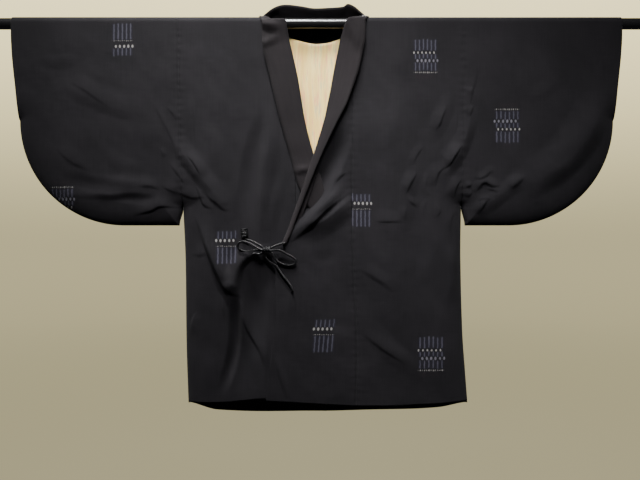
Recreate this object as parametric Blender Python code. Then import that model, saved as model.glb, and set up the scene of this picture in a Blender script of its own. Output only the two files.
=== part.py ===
"""Kimono overcoat hung on a rod through both sleeves, with its left front tied over its right.

Sizes are in millimetres and become metres when a mesh is made. X runs to the viewer's right, Y to the
back and Z up, and the origin lies on the rod's axis, midway between the cuffs. Left and right in the
names are the wearer's, so the left pieces lie at +X.

Every piece of cloth is drawn flat first, as places (x, z) on a plan, and then hung: above z = 0 the
plan's height is a length along the arc over the rod, and below it the cloth falls straight at a depth
in front of or behind the rod's axis.
"""

import math

import bmesh
import bpy
from mathutils import Vector

MM = 0.001

# Rod and cloth
ROD_RADIUS = 12.0
ROD_ENDS = (-693.0, 708.0)
CLOTH = 1.6
COLLAR_CLOTH = 2.0
LINING_CLOTH = 1.0
CLEARANCE = 0.3
ARC_RADIUS = ROD_RADIUS + 0.5 + CLOTH / 2
TOP = ARC_RADIUS * math.pi / 2
FRONT, BACK = -1, 1

# Sleeves: cuff line, and the large round corner below the cuff opening
CUFF_TOP = 650.0
CORNER_RADIUS = 224.0
CORNER_X = 411.0
CORNER_Z = -208.0
CUFF_STRAIGHT = -18.0
CUFF_END = CORNER_X + CORNER_RADIUS
SLEEVE_BOTTOM = CORNER_Z - CORNER_RADIUS

# Body outline, height against x. The coat hangs a little to the viewer's right of the cuffs' middle
RIGHT_SIDE = ((TOP, -296), (-395, -285), (-500, -280.5), (-690, -278), (-810, -274))
LEFT_SIDE = ((TOP, 313), (-391, 309), (-500, 308), (-660, 312), (-740, 317.5), (-812, 323))
RIGHT_ARMPIT = (-285.0, -395.0)
LEFT_ARMPIT = (309.0, -391.0)
CENTRE_BACK = ((-46, 0), (-400, 10), (-835, 20))
SLEEVE_RELEASE = 8.0

# Hems, x against height
RIGHT_HEM = ((-275, -808), (-190, -806), (-109, -799), (0, -803), (150, -808))
LEFT_HEM = ((-107, -802), (-78, -803.5), (82, -812), (210, -811), (323, -805.5))
BACK_HEM = ((-274, -812), (-215, -832), (0, -835), (92, -833), (262, -827), (323, -812))

# Back lining, x against the height of its upper edge
LINING_SIDES = (-200.0, 228.0)
LINING_TOP = ((-200, -14.5), (-98, -14.5), (-84.5, -22), (-62, -35), (-36, -43), (0, -47.5), (36, -43),
              (62, -35), (84.5, -22), (98, -14.5), (228, -14.5))
LINING_BOTTOM = -715.0

# Front edges and long seams, height against x
RIGHT_OKUMI_SEAM = -43.5
LEFT_OKUMI_SEAM = ((-40, 75), (-400, 74), (-525, 77.5), (-655, 84), (-812, 84))
RIGHT_FOLD = ((-38, -59), (-60, -54), (-123, -40), (-208, -26), (-285, -6.5), (-357, 16), (-431, 37),
              (-490, 56))
LEFT_FOLD = ((-38, 51.5), (-66, 45.7), (-104, 38), (-145, 30.6), (-179, 23.8), (-208, 17.6),
             (-266, 0.4), (-308, -13.8), (-366, -32.5), (-421, -52), (-451, -63), (-472, -73))
RIGHT_FRONT_EDGE = ((-496, 53), (-570, 120), (-640, 140), (-812, 150))
LEFT_FRONT_EDGE = ((-472, -69), (-500, -80), (-536, -86), (-659, -89), (-742, -100), (-812, -107))
TUCK = 4.0
RIGHT_NECK_EDGE = ((TOP, -103.5), (0, -103), (-16, -97), (-28, -90.5), (-37, -83), (-60, -58))
LEFT_NECK_EDGE = ((TOP, 103.5), (0, 103), (-16, 93), (-28, 83), (-37, 77), (-60, 51))
BACK_NECK_EDGE = ((TOP, 102), (6, 102), (-7, 98), (-21, 84.5), (-34, 62), (-42, 36), (-46.4, 4))

# The collar's outer edge on the fronts, height against x, and how far it stands off the front
RIGHT_FALL = ((-38, -115), (-60, -113), (-123, -97.5), (-208, -77.5), (-285, -56), (-357, -35),
              (-431, 3), (-490, 38))
LEFT_FALL = ((-38, 102.6), (-66, 97.5), (-104, 89), (-145, 75.4), (-179, 62.7), (-208, 47.8),
             (-266, 19.5), (-308, 1), (-366, -22), (-421, -43), (-451, -54), (-472, -64))
RIGHT_STAND_OFF = ((-38, 5), (-150, 6), (-240, 2), (-280, 0.2))
LEFT_STAND_OFF = ((-38, 5), (-145, 9), (-266, 5), (-366, 1))
UNDER_LAYER = 20.0
FOLD_BEND = 3.0
FOLD_HALF_LOOP = 2.2
UNDER_CROWN = 0.2
FALL_CROWN = 0.8
COLLAR_CELL = 26.0
NECK_STEPS = 2

# The collar round the neck: its fold, its outer edge and its seam at places from the front of the rod
# on the right shoulder, over the rod, round the back, to the front of the rod on the left shoulder
NECK_ROWS = (
    # fold x, y, z        outer edge x, y, z     seam x, y, z
    ((-66, -20.5, 0), (-116, -19, 0), (-100.5, -13.8, -2)),
    ((-71, -15, 15), (-118, -13.5, 13), (-101, -9.8, 9.8)),
    ((-79, -4, 20.5), (-119, -2.5, 19), (-101, 0, 13.9)),
    ((-99, 9, 21.5), (-125, 17, 12), (-100.5, 10.8, 8.9)),
    ((-108, 18, 27), (-122, 27, -14), (-95.5, 14.4, -6)),
    ((-88, 24.5, 34.5), (-102, 33, -32), (-82, 14.8, -20)),
    ((-63, 27, 38.5), (-66, 36, -42), (-59, 15, -33)),
    ((-6, 28, 32.5), (-4, 37, -49), (-2, 15.6, -45)),
    ((32, 28, 34.5), (34, 36.5, -46), (33, 15.2, -41)),
    ((64, 26.5, 40.5), (68, 35, -39), (59, 15, -33)),
    ((85, 22, 33.5), (100, 31, -28), (82, 14.8, -20)),
    ((95, 15, 23), (114, 24, -8), (95.5, 14.4, -6)),
    ((88, 8, 21), (112, 15, 13.5), (100.5, 10.8, 8.9)),
    ((74, -4, 20.5), (109, -2.5, 19), (101, 0, 13.9)),
    ((68, -15, 15), (106, -13.5, 13), (100, -9.8, 9.8)),
    ((64, -20.5, 0), (104, -19, 0), (99, -13.8, -2)),
)

# Depths below the rod, height against distance from the rod's axis
FRONT_DEPTH = ((-835, 24), (-520, 26), (-300, 23), (-120, 17.5), (0, ARC_RADIUS))
BACK_DEPTH = ((-835, 21), (-500, 22), (-250, 19), (-46, 15), (0, ARC_RADIUS))
SLEEVE_DEPTH = ((-440, 17), (-200, 17.5), (-80, 15.2), (0, ARC_RADIUS))
BODY_CLOSED, SLEEVE_CLOSED = 0.7, 0.8
CLOSING_REACH = 70.0
CLOSING_ROUNDNESS = 2.4
ARMHOLE_BLEND = 70.0
FOLDS_BEGIN = 60.0

# The left front lies this far before the right one, fully so below and left of two soft ramps
OVERLAP_LIFT = 7.2
LIFT_RAMP_X = (230.0, 150.0)
LIFT_RAMP_Z = (-100.0, -255.0)

# Mesh of the cloth: longest step between rows, columns, and how much columns gather towards an edge
FRONT_CELL, FRONT_COLUMNS = 26.0, 10
OKUMI_CELL, OKUMI_COLUMNS = 24.0, 6
HIDDEN_CELL, HIDDEN_COLUMNS = 40.0, 4
BACK_CELL, BACK_COLUMNS = 36.0, 7
SLEEVE_FRONT_CELL, SLEEVE_FRONT_COLUMNS = 26.0, 12
SLEEVE_BACK_CELL, SLEEVE_BACK_COLUMNS = 34.0, 9
LINING_CELLS = 14
EDGE_GATHER = 0.6
SLEEVE_GATHER = 0.45

# Largest folds: three places (x, z) along the crest, half width, height (below 0 for a trough)
FRONT_FOLDS = (
    ((-311, -238), (-254, -319), (-186, -400), 24, 5),
    ((-250, -434), (-177, -580), (-115, -786), 22, 4),
    ((-106, -190), (-138, -315), (-142, -450), 28, -5),
    ((-135, -505), (-140, -550), (-140, -600), 38, -8),
    ((-180, -600), (-186, -667), (-168, -760), 26, -4),
    ((-530, -128), (-468, -164), (-354, -198), 34, 4),
    ((-560, -330), (-470, -352), (-330, -372), 26, -4),
    ((334, -174), (309, -264), (258, -347), 24, 6),
    ((277, -174), (262, -211), (250, -236), 18, 3),
    ((211, -323), (188, -374), (190, -425), 22, 4),
    ((436, -334), (409, -353), (345, -410), 22, 4),
    ((110, -640), (150, -690), (205, -735), 26, 3),
    ((284, -461), (292, -538), (279, -606), 20, 3),
)
TIE_FOLD = ((86, -366), (22, -418), (-28, -444), 28, 8)
BACK_FOLDS = (
    ((-320, -220), (-262, -310), (-190, -392), 26, 5),
    ((330, -190), (296, -280), (236, -372), 26, 5),
    ((-120, -300), (-132, -480), (-118, -720), 30, 4),
    ((150, -260), (168, -470), (150, -700), 32, 4),
    ((-520, -150), (-470, -180), (-380, -196), 34, 4),
    ((500, -140), (455, -176), (372, -204), 34, 4),
    ((30, -520), (44, -640), (36, -790), 24, 3),
)

# Tie cord, in places (x, z) and a distance in front of the cloth
CORD = 4.5
KNOT_PLACE = (-104.0, -484.0)
KNOT_SIZE = (19.0, 13.0, 13.0)
KNOT_STAND_OFF = 10.0
ROOT_PLACE = (-151.5, -449.0)
ROOT_SIZE = (15.0, 9.0, 22.0)
ROOT_RIDGES = 4
TIE_ROUTES = {
    "tie_run_root": ((-149, -462.5, 5.5), (-142, -464, 7), (-133, -467, 9), (-124, -471.5, 10),
                     (-115.9, -475.9, 10), (-112.7, -479.8, 10)),
    "tie_run_edge": ((-66, -470, 14), (-74, -471.5, 15), (-82, -474, 14.8), (-91.8, -478.4, 13.4),
                     (-94.7, -480.9, 12.1)),
    "tie_loop_right": ((-112.2, -484, 15.1), (-114.7, -484, 18.2), (-122, -480.5, 19.6),
                       (-132, -474.5, 18.8), (-143, -469, 17), (-154, -466.5, 14), (-162, -469.5, 10.5),
                       (-165, -476.5, 7), (-161, -483.5, 4.3), (-151, -486.5, 3), (-138, -486, 2.8),
                       (-126, -484.5, 2.8), (-118, -483.4, 2.8), (-112.6, -483.4, 5.2)),
    "tie_loop_left": ((-96.2, -485.1, 15.3), (-94, -485.9, 18.5), (-86, -484.5, 19.6),
                      (-76, -485.5, 19), (-68, -489, 18), (-60, -494, 16.5), (-51, -498.5, 14),
                      (-43.8, -505.5, 11.8), (-45.5, -513, 10.4), (-54, -516.5, 9.9),
                      (-66, -515.5, 9.9), (-77, -511.5, 10), (-86, -503.5, 10), (-92.9, -491.5, 10),
                      (-95.4, -488.3, 10)),
    "tie_end_right": ((-112.6, -488.3, 10.5), (-115.6, -491.8, 10.6), (-122, -493, 8.5),
                      (-130, -492.5, 5.5), (-138, -495.5, 3.3), (-146, -497.5, 2.7)),
    "tie_end_left": ((-106.7, -490.5, 8.6), (-107.5, -495.4, 7.8), (-105, -502, 6.6), (-98, -509, 7.2),
                     (-91, -513.8, 9.6), (-84.5, -518, 10), (-78.5, -526, 9.9), (-70.5, -537.5, 9.9),
                     (-60.5, -550, 9.9), (-52.5, -562, 9.9), (-50, -570, 9.9)),
}


def along(table, place):
    """Value at a place in a table of (place, value) rows, joined by smooth curves."""
    rows = sorted(table)
    if place <= rows[0][0]:
        return rows[0][1]
    if place >= rows[-1][0]:
        return rows[-1][1]
    after = next(i for i, row in enumerate(rows) if row[0] >= place)
    before = after - 1

    def slope(i):
        low, high = max(i - 1, 0), min(i + 1, len(rows) - 1)
        return (rows[high][1] - rows[low][1]) / (rows[high][0] - rows[low][0])

    span = rows[after][0] - rows[before][0]
    t = (place - rows[before][0]) / span
    return ((2 * t ** 3 - 3 * t ** 2 + 1) * rows[before][1] + (3 * t ** 2 - 2 * t ** 3) * rows[after][1]
            + span * slope(before) * (t ** 3 - 2 * t ** 2 + t) + span * slope(after) * (t ** 3 - t ** 2))


def smooth_step(value):
    """0 below 0, 1 above 1 and a soft rise between them."""
    t = min(max(value, 0.0), 1.0)
    return t * t * (3 - 2 * t)


def ramp(value, start, end):
    """0 up to the start, 1 from the end on and a soft rise between them."""
    return smooth_step((value - start) / (end - start))


def mix(a, b, share):
    return a + (b - a) * share


def closing(distance):
    """Share of the full depth near an edge where front and back come together."""
    t = min(max(distance / CLOSING_REACH, 0.0), 1.0)
    return math.sqrt(1 - (1 - t) ** CLOSING_ROUNDNESS)


def fold_height(row, x, z):
    """Height of one fold at a place: a soft ridge along two straight runs, fading at its ends."""
    start, middle, end, half_width, height = row
    here = Vector((x, z))
    nearest = None
    for first, second, offset in ((start, middle, 0.0), (middle, end, 0.5)):
        first, second = Vector(first), Vector(second)
        run = second - first
        t = min(max((here - first).dot(run) / run.length_squared, 0.0), 1.0)
        distance = (here - first - run * t).length
        if nearest is None or distance < nearest[0]:
            nearest = (distance, offset + t / 2)
    distance, place = nearest
    if distance >= half_width:
        return 0.0
    ends = smooth_step(place * 4) * smooth_step((1 - place) * 4)
    return height * (1 - (distance / half_width) ** 2) ** 2 * ends


def side_distance(x, z, side, armpit):
    """Distance to a side seam below the armpit, and to the armpit above it."""
    if z < armpit[1]:
        return abs(x - along(side, z))
    return math.hypot(x - armpit[0], z - armpit[1])


def body_distance(x, z):
    """Distance to the nearest place where the body's front and back meet."""
    return min(side_distance(x, z, RIGHT_SIDE, RIGHT_ARMPIT), side_distance(x, z, LEFT_SIDE, LEFT_ARMPIT))


def sleeve_inner(z, side, armpit, hand):
    """Inner edge of a sleeve: along the armhole seam, then swinging free below the armpit."""
    free = smooth_step((armpit[1] - z) / (armpit[1] - SLEEVE_BOTTOM)) * SLEEVE_RELEASE
    return along(side, max(z, armpit[1])) + hand * (free + seam_half_gap(z, armpit))


def seam_half_gap(z, armpit):
    """Half the gap at the armhole seam, wider where the cloth pinches at the armpit."""
    return CLEARANCE / 2 + smooth_step((armpit[1] + 60 - z) / 60)


def sleeve_distance(x, z):
    """Distance to the nearest place where a sleeve's front and back meet."""
    side, armpit, hand = (LEFT_SIDE, LEFT_ARMPIT, 1) if x > 0 else (RIGHT_SIDE, RIGHT_ARMPIT, -1)
    if z < armpit[1]:
        inner = abs(x - sleeve_inner(z, side, armpit, hand))
    else:
        inner = math.hypot(x - armpit[0], z - armpit[1])
    out, up = abs(x) - CORNER_X, z - CORNER_Z
    if out <= 0:
        return min(inner, up + CORNER_RADIUS)
    if up < 0:
        return min(inner, CORNER_RADIUS - math.hypot(out, up))
    return min(inner, math.hypot(CUFF_END - abs(x), up))


def depth(face, x, z, distance, folds=()):
    """Distance of the hung cloth from the rod's axis plane, below the rod."""
    body = along(FRONT_DEPTH if face == FRONT else BACK_DEPTH, z)
    sleeve = along(SLEEVE_DEPTH, z)
    seam = along(LEFT_SIDE if x > 0 else RIGHT_SIDE, max(z, LEFT_ARMPIT[1]))
    out = (abs(x) - abs(seam) + ARMHOLE_BLEND) / (2 * ARMHOLE_BLEND)
    relief = sum(fold_height(row, x, z) for row in folds) * smooth_step(-z / FOLDS_BEGIN)
    full = mix(body, sleeve, smooth_step(out)) + relief
    closed = SLEEVE_CLOSED if distance is sleeve_distance else BODY_CLOSED
    return mix(closed, full, closing(distance(x, z)))


def hang(face, x, z, distance=body_distance, folds=(), lift=0.0):
    """Place in space of a place on the plan, moved out by a lift."""
    if z > 0:
        angle = z / ARC_RADIUS
        radius = ARC_RADIUS + lift
        return Vector((x, face * radius * math.cos(angle), radius * math.sin(angle)))
    return Vector((x, face * (depth(face, x, z, distance, folds) + lift), z))


def overlap_lift(x, z):
    """How far the left front lies in front of the right one."""
    return OVERLAP_LIFT * ramp(x, *LIFT_RAMP_X) * ramp(z, *LIFT_RAMP_Z)


def material(name, colour, roughness, metallic=0.0):
    made = bpy.data.materials.new(name)
    made.use_nodes = True
    shader = made.node_tree.nodes["Principled BSDF"]
    shader.inputs["Base Color"].default_value = (*colour, 1.0)
    shader.inputs["Roughness"].default_value = roughness
    shader.inputs["Metallic"].default_value = metallic
    made.diffuse_color = (*colour, 1.0)
    return made


def add_object(name, mesh, finish):
    mesh.materials.append(finish)
    mesh.shade_smooth()
    made = bpy.data.objects.new(name, mesh)
    bpy.context.scene.collection.objects.link(made)
    return made


def add_wall(name, columns, rows, place, thickness, finish):
    """A cloth wall: a grid laid on place(u, v), u and v from 0 to 1, given its thickness."""
    bm = bmesh.new()
    bmesh.ops.create_grid(bm, x_segments=columns, y_segments=rows, size=0.5)
    for vert in bm.verts:
        vert.co = place(vert.co.x + 0.5, vert.co.y + 0.5) * MM
    mesh = bpy.data.meshes.new(name)
    bm.to_mesh(mesh)
    bm.free()
    wall = add_object(name, mesh, finish)
    solidify = wall.modifiers.new("Wall", "SOLIDIFY")
    solidify.thickness = thickness * MM
    solidify.offset = 0.0
    return wall


def row_heights(heights, cell):
    """Plan heights of a panel's rows: the stated ones, with the long steps between them divided."""
    rows = [heights[0]]
    for low, high in zip(heights, heights[1:]):
        steps = max(1, round(abs(high - low) / cell))
        rows += [mix(low, high, (i + 1) / steps) for i in range(steps)]
    return rows


def add_panel(name, face, inner, outer, heights, hem, columns, cell, finish, folds=(), lift=None):
    """A body panel between two edges, given as height against x, down to its hem."""
    rows = row_heights(heights, cell)
    bottom = rows[-1]

    def height_at(row, x):
        return row if row > 0 else row * along(hem, x) / bottom

    def edge_place(edge, row):
        return edge(height_at(row, edge(row)))

    def place(u, v):
        row = rows[round(v * (len(rows) - 1))]
        bunched = mix(u, math.sin(u * math.pi / 2), EDGE_GATHER)
        x = mix(edge_place(inner, row), edge_place(outer, row), bunched)
        z = height_at(row, x)
        out = lift(x, z) if lift else 0.0
        return hang(face, x, z, folds=folds, lift=out)

    return add_wall(name, columns, len(rows) - 1, place, CLOTH, finish)


ARC_HEIGHTS = (TOP - 2 * CLEARANCE, TOP * 3 / 4, TOP / 2, TOP / 4, 0.0)


def side_edge(side, armpit, hand):
    """The body panel's outer edge: clear of the sleeve down to the armpit, then the side seam."""
    def edge(z):
        gap = seam_half_gap(z, armpit) if z > armpit[1] else 0.0
        return along(side, z) - hand * gap
    return edge


def add_fronts(cloth):
    """Left front over right front, each with its overlap panel along the front edge."""
    right_side = side_edge(RIGHT_SIDE, RIGHT_ARMPIT, -1)
    left_side = side_edge(LEFT_SIDE, LEFT_ARMPIT, 1)
    half = CLEARANCE / 2

    def right_edge(z):
        if z > -60:
            return along(RIGHT_NECK_EDGE, z)
        return along(RIGHT_FOLD, z) - TUCK if z > -490 else along(RIGHT_FRONT_EDGE, z)

    def left_edge(z):
        if z > -60:
            return along(LEFT_NECK_EDGE, z)
        return along(LEFT_FOLD, z) + TUCK if z > -472 else along(LEFT_FRONT_EDGE, z)

    neck_heights = ARC_HEIGHTS + (-8, -16, -28, -37, -48, -60)
    add_panel("front_right", FRONT,
              lambda z: min(right_edge(z), RIGHT_OKUMI_SEAM - half), right_side,
              neck_heights + (-125, -812), RIGHT_HEM, FRONT_COLUMNS, FRONT_CELL, cloth, FRONT_FOLDS)
    add_panel("okumi_right", FRONT,
              lambda z: RIGHT_OKUMI_SEAM + half, right_edge,
              (-150, -496, -560, -812), RIGHT_HEM, HIDDEN_COLUMNS, HIDDEN_CELL, cloth)
    add_panel("front_left", FRONT,
              lambda z: max(left_edge(z), along(LEFT_OKUMI_SEAM, z) + half), left_side,
              neck_heights + (-812,), LEFT_HEM, FRONT_COLUMNS - 1, FRONT_CELL, cloth, FRONT_FOLDS,
              overlap_lift)
    add_panel("okumi_left", FRONT,
              lambda z: along(LEFT_OKUMI_SEAM, z) - half, left_edge,
              (-44, -60, -472, -500, -812), LEFT_HEM, OKUMI_COLUMNS, OKUMI_CELL, cloth, (TIE_FOLD,),
              overlap_lift)


def add_backs(cloth, lining):
    """Two back panels with a centre seam, and the lining inside them."""
    half = CLEARANCE / 2
    heights = ARC_HEIGHTS + (-7, -14, -21, -28, -34, -39, -43, -46.4, -60, -835)
    for name, hand, side, armpit in (("back_right", -1, RIGHT_SIDE, RIGHT_ARMPIT),
                                     ("back_left", 1, LEFT_SIDE, LEFT_ARMPIT)):
        def inner(z, hand=hand):
            if z > BACK_NECK_EDGE[-1][0] - CLEARANCE:
                return hand * along(BACK_NECK_EDGE, z)
            return along(CENTRE_BACK, z) + hand * half
        add_panel(name, BACK, inner, side_edge(side, armpit, hand), heights, BACK_HEM, BACK_COLUMNS,
                  BACK_CELL, cloth, BACK_FOLDS)

    inside = (CLOTH + LINING_CLOTH) / 2 + 3 * CLEARANCE

    def place(u, v):
        x = mix(*LINING_SIDES, u)
        z = mix(along(LINING_TOP, x), LINING_BOTTOM, mix(v, v * v, 0.5))
        return hang(BACK, x, z, lift=-inside)

    add_wall("lining_back", LINING_CELLS, LINING_CELLS, place, LINING_CLOTH, lining)


def add_sleeves(cloth):
    """Both sleeves, each with a front and a back half that meet round the lower outline."""
    for name, hand, side, armpit in (("sleeve_right", -1, RIGHT_SIDE, RIGHT_ARMPIT),
                                     ("sleeve_left", 1, LEFT_SIDE, LEFT_ARMPIT)):
        add_sleeve_half(f"{name}_front", hand, side, armpit, FRONT, FRONT_FOLDS, SLEEVE_FRONT_COLUMNS,
                        SLEEVE_FRONT_CELL, cloth)
        add_sleeve_half(f"{name}_back", hand, side, armpit, BACK, BACK_FOLDS, SLEEVE_BACK_COLUMNS,
                        SLEEVE_BACK_CELL, cloth)


def add_sleeve_half(name, hand, side, armpit, face, folds, columns, cell, cloth):
    """Half a sleeve: straight rows down to the round corner's centre, then a patch into the corner."""
    upper = row_heights(ARC_HEIGHTS + (CORNER_Z,), cell)
    lower = round(CORNER_RADIUS / cell) + 1
    rows = len(upper) - 1 + lower

    def inner(z):
        return sleeve_inner(z, side, armpit, hand)

    def cuff(z):
        return hand * mix(CUFF_END, CUFF_TOP, ramp(z, CORNER_Z, CUFF_STRAIGHT))

    def corner(angle):
        return Vector((hand * (CORNER_X + CORNER_RADIUS * math.cos(angle)),
                       CORNER_Z - CORNER_RADIUS * math.sin(angle)))

    start, end = Vector((inner(CORNER_Z), CORNER_Z)), Vector((inner(SLEEVE_BOTTOM), SLEEVE_BOTTOM))
    straight = abs(hand * CORNER_X - end.x)
    bottom_length = straight + CORNER_RADIUS * math.pi / 4

    def bottom_line(u):
        length = u * bottom_length
        if length < straight:
            return Vector((end.x + hand * length, SLEEVE_BOTTOM))
        return corner(math.pi / 2 - (length - straight) / CORNER_RADIUS)

    def patch(u, v):
        """Blend of the four edge lines of the sleeve below the round corner's centre."""
        top = start.lerp(corner(0), u)
        z = mix(CORNER_Z, SLEEVE_BOTTOM, v)
        across = Vector((inner(z), z)).lerp(corner(v * math.pi / 4), u)
        down = top.lerp(bottom_line(u), v)
        corners = start.lerp(corner(0), u).lerp(end.lerp(corner(math.pi / 4), u), v)
        return across + down - corners

    def place(u, v):
        row = round(v * rows)
        bunched = mix(u, (1 - math.cos(u * math.pi)) / 2, SLEEVE_GATHER)
        if row < len(upper):
            z = upper[row]
            return hang(face, mix(inner(z), cuff(z), bunched), z, sleeve_distance, folds)
        low = (row - len(upper) + 1) / lower
        x, z = patch(bunched, mix(low, math.sin(low * math.pi / 2), EDGE_GATHER))
        return hang(face, x, z, sleeve_distance, folds)

    add_wall(name, columns, rows, place, CLOTH, cloth)


def collar_section(fold, edge, seam):
    """Seven places across the collar, from its seam up to the fold and down to its outer edge."""
    fold, edge, seam = Vector(fold), Vector(edge), Vector(seam)
    inward = ((seam - fold).normalized() + (edge - fold).normalized()).normalized()
    outward = edge - seam
    outward = (outward - inward * outward.dot(inward)).normalized()
    under = fold + inward * FOLD_BEND - outward * FOLD_HALF_LOOP
    over = fold + inward * FOLD_BEND + outward * FOLD_HALF_LOOP
    return (seam, seam.lerp(under, 0.5) - outward * UNDER_CROWN, under, fold, over,
            over.lerp(edge, 0.5) + outward * FALL_CROWN, edge)


def front_section(z, fold_line, fall_line, stand_off, hand, lift):
    """The collar's section where it lies along a front's edge."""
    fold_x, edge_x = along(fold_line, z), along(fall_line, z)
    spacing = (CLOTH + COLLAR_CLOTH) / 2 + 2 * CLEARANCE

    def on_front(x, out):
        raised = lift(x, z) if lift else 0.0
        return hang(FRONT, x, z, lift=out + raised)

    return collar_section(on_front(fold_x, 0.0),
                          on_front(edge_x, spacing + along(stand_off, z)),
                          on_front(fold_x + hand * UNDER_LAYER, -spacing))


def curve_between(before, start, end, after, t):
    """Smooth curve from start to end, aimed by the places before and after them."""
    return (start * 2 + (end - before) * t + (before * 2 - start * 5 + end * 4 - after) * t ** 2
            + (start * 3 - before - end * 3 + after) * t ** 3) / 2


def add_collar(cloth):
    """One long band: up the right front, round the neck and down the left front to the tie."""
    right = [front_section(z, RIGHT_FOLD, RIGHT_FALL, RIGHT_STAND_OFF, -1, None)
             for z in row_heights((-490, -38), COLLAR_CELL)]
    left = [front_section(z, LEFT_FOLD, LEFT_FALL, LEFT_STAND_OFF, 1, overlap_lift)
            for z in row_heights((-38, -472), COLLAR_CELL)]
    neck = [collar_section(*row) for row in NECK_ROWS]
    stations = right + neck + left
    sections = []
    for i, station in enumerate(stations[:-1]):
        sections.append(station)
        if len(right) - 1 <= i < len(right) + len(neck):
            around = (stations[i - 1], station, stations[i + 1], stations[i + 2])
            for step in range(1, NECK_STEPS):
                sections.append(tuple(curve_between(*points, step / NECK_STEPS)
                                      for points in zip(*around)))
    sections.append(stations[-1])
    across = len(sections[0]) - 1

    def place(u, v):
        return sections[round(u * (len(sections) - 1))][round(v * across)]

    add_wall("collar", len(sections) - 1, across, place, COLLAR_CLOTH, cloth)


def add_rod(finish):
    bm = bmesh.new()
    length = ROD_ENDS[1] - ROD_ENDS[0]
    bmesh.ops.create_cone(bm, cap_ends=True, segments=32, radius1=ROD_RADIUS * MM, radius2=ROD_RADIUS * MM,
                          depth=length * MM)
    mesh = bpy.data.meshes.new("rod")
    bm.to_mesh(mesh)
    bm.free()
    rod = add_object("rod", mesh, finish)
    rod.rotation_euler = (0, math.pi / 2, 0)
    rod.location = (sum(ROD_ENDS) / 2 * MM, 0, 0)


def before_cloth(x, z, out):
    """Place at a distance in front of the outer face of the right front, clear of its folds."""
    return hang(FRONT, x, z, folds=FRONT_FOLDS, lift=CLOTH / 2 + out)


def add_ball(name, place, size, ridges, finish):
    """A rounded piece of wound cord, with ridges round it where it has more than one turn."""
    bm = bmesh.new()
    rings = max(8, ridges * 4)
    bmesh.ops.create_uvsphere(bm, u_segments=14, v_segments=rings, radius=0.5)
    for vert in bm.verts:
        height = vert.co.z
        groove = 1 - 0.14 * (1 - math.cos(ridges * 2 * math.pi * (height + 0.5))) / 2 if ridges > 1 else 1
        fuller = 1.0 if abs(height) > 0.49 else 1.12
        vert.co = Vector((vert.co.x * size[0] * groove * fuller, vert.co.y * size[1] * groove * fuller,
                          height * size[2])) * MM
    mesh = bpy.data.meshes.new(name)
    bm.to_mesh(mesh)
    bm.free()
    add_object(name, mesh, finish).location = place * MM


def add_cord(name, route, finish):
    """A round cord through the places of its route, as a tube with filled ends."""
    places = [before_cloth(*row) for row in route]
    ends = [places[0] * 2 - places[1]] + places + [places[-1] * 2 - places[-2]]
    points = [curve_between(*ends[i:i + 4], step / 2)
              for i in range(len(places) - 1) for step in range(2)] + [places[-1]]
    curve = bpy.data.curves.new(name, "CURVE")
    curve.dimensions = "3D"
    curve.bevel_depth = CORD / 2 * MM
    curve.bevel_resolution = 2
    curve.use_fill_caps = True
    spline = curve.splines.new("POLY")
    spline.points.add(len(points) - 1)
    for point, place in zip(spline.points, points):
        point.co = (*(place * MM), 1.0)
    curve.materials.append(finish)
    made = bpy.data.objects.new(name, curve)
    bpy.context.scene.collection.objects.link(made)


def add_tie(cord):
    """Cord root sewn on the right front, the knot, and the runs, loops and ends that leave the knot."""
    root = before_cloth(*ROOT_PLACE, ROOT_SIZE[1] / 2 + 1)
    add_ball("tie_root", root, ROOT_SIZE, ROOT_RIDGES, cord)
    add_ball("tie_knot", before_cloth(*KNOT_PLACE, KNOT_STAND_OFF), KNOT_SIZE, 1, cord)
    for name, route in TIE_ROUTES.items():
        add_cord(name, route, cord)


def build():
    for old in list(bpy.data.objects):
        bpy.data.objects.remove(old, do_unlink=True)
    cloth = material("outer cloth", (0.016, 0.015, 0.022), 0.85)
    collar_cloth = material("collar cloth", (0.020, 0.018, 0.024), 0.8)
    lining = material("lining", (0.72, 0.66, 0.56), 0.6)
    steel = material("painted rod", (0.01, 0.01, 0.011), 0.2)
    cord = material("tie cord", (0.012, 0.012, 0.016), 0.75)
    add_rod(steel)
    add_backs(cloth, lining)
    add_fronts(cloth)
    add_sleeves(cloth)
    add_collar(collar_cloth)
    add_tie(cord)


build()
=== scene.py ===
import math

import bmesh
import bpy
import numpy as np
from mathutils import Matrix


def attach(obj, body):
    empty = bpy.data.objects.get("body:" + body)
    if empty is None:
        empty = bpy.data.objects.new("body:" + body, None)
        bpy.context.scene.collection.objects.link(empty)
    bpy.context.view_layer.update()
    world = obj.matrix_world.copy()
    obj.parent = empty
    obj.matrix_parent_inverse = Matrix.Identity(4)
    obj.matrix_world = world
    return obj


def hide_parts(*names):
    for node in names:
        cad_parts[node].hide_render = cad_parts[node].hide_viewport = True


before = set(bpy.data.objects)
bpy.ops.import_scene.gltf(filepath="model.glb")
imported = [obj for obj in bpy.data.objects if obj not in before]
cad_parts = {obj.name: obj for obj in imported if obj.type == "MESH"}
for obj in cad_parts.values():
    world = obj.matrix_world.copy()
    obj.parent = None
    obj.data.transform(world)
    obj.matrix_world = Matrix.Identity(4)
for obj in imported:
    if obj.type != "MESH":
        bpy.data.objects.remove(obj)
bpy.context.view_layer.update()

# Lengths are millimetres until a mesh is made. X runs to the viewer's right, Y to the back, Z up, and the
# origin is on the rod's axis. Left and right are the wearer's. Cloth is laid out on a flat plan (x, z) and
# then hung: above z = 0 the plan's height runs along the arc over the rod. In metres are the camera, the
# stage, the lamps, the depths of relief in materials, the thread, and the flat sizes that sheets have.
mm = 0.001
rodRadius = 12.0
rodClear = 0.5
clothWall = 1.6
shellWall = 1.2
arcRadius = rodRadius + rodClear + clothWall / 2
rodTop = arcRadius * math.pi / 2
front, back = -1, 1
right, left = -1, 1

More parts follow.
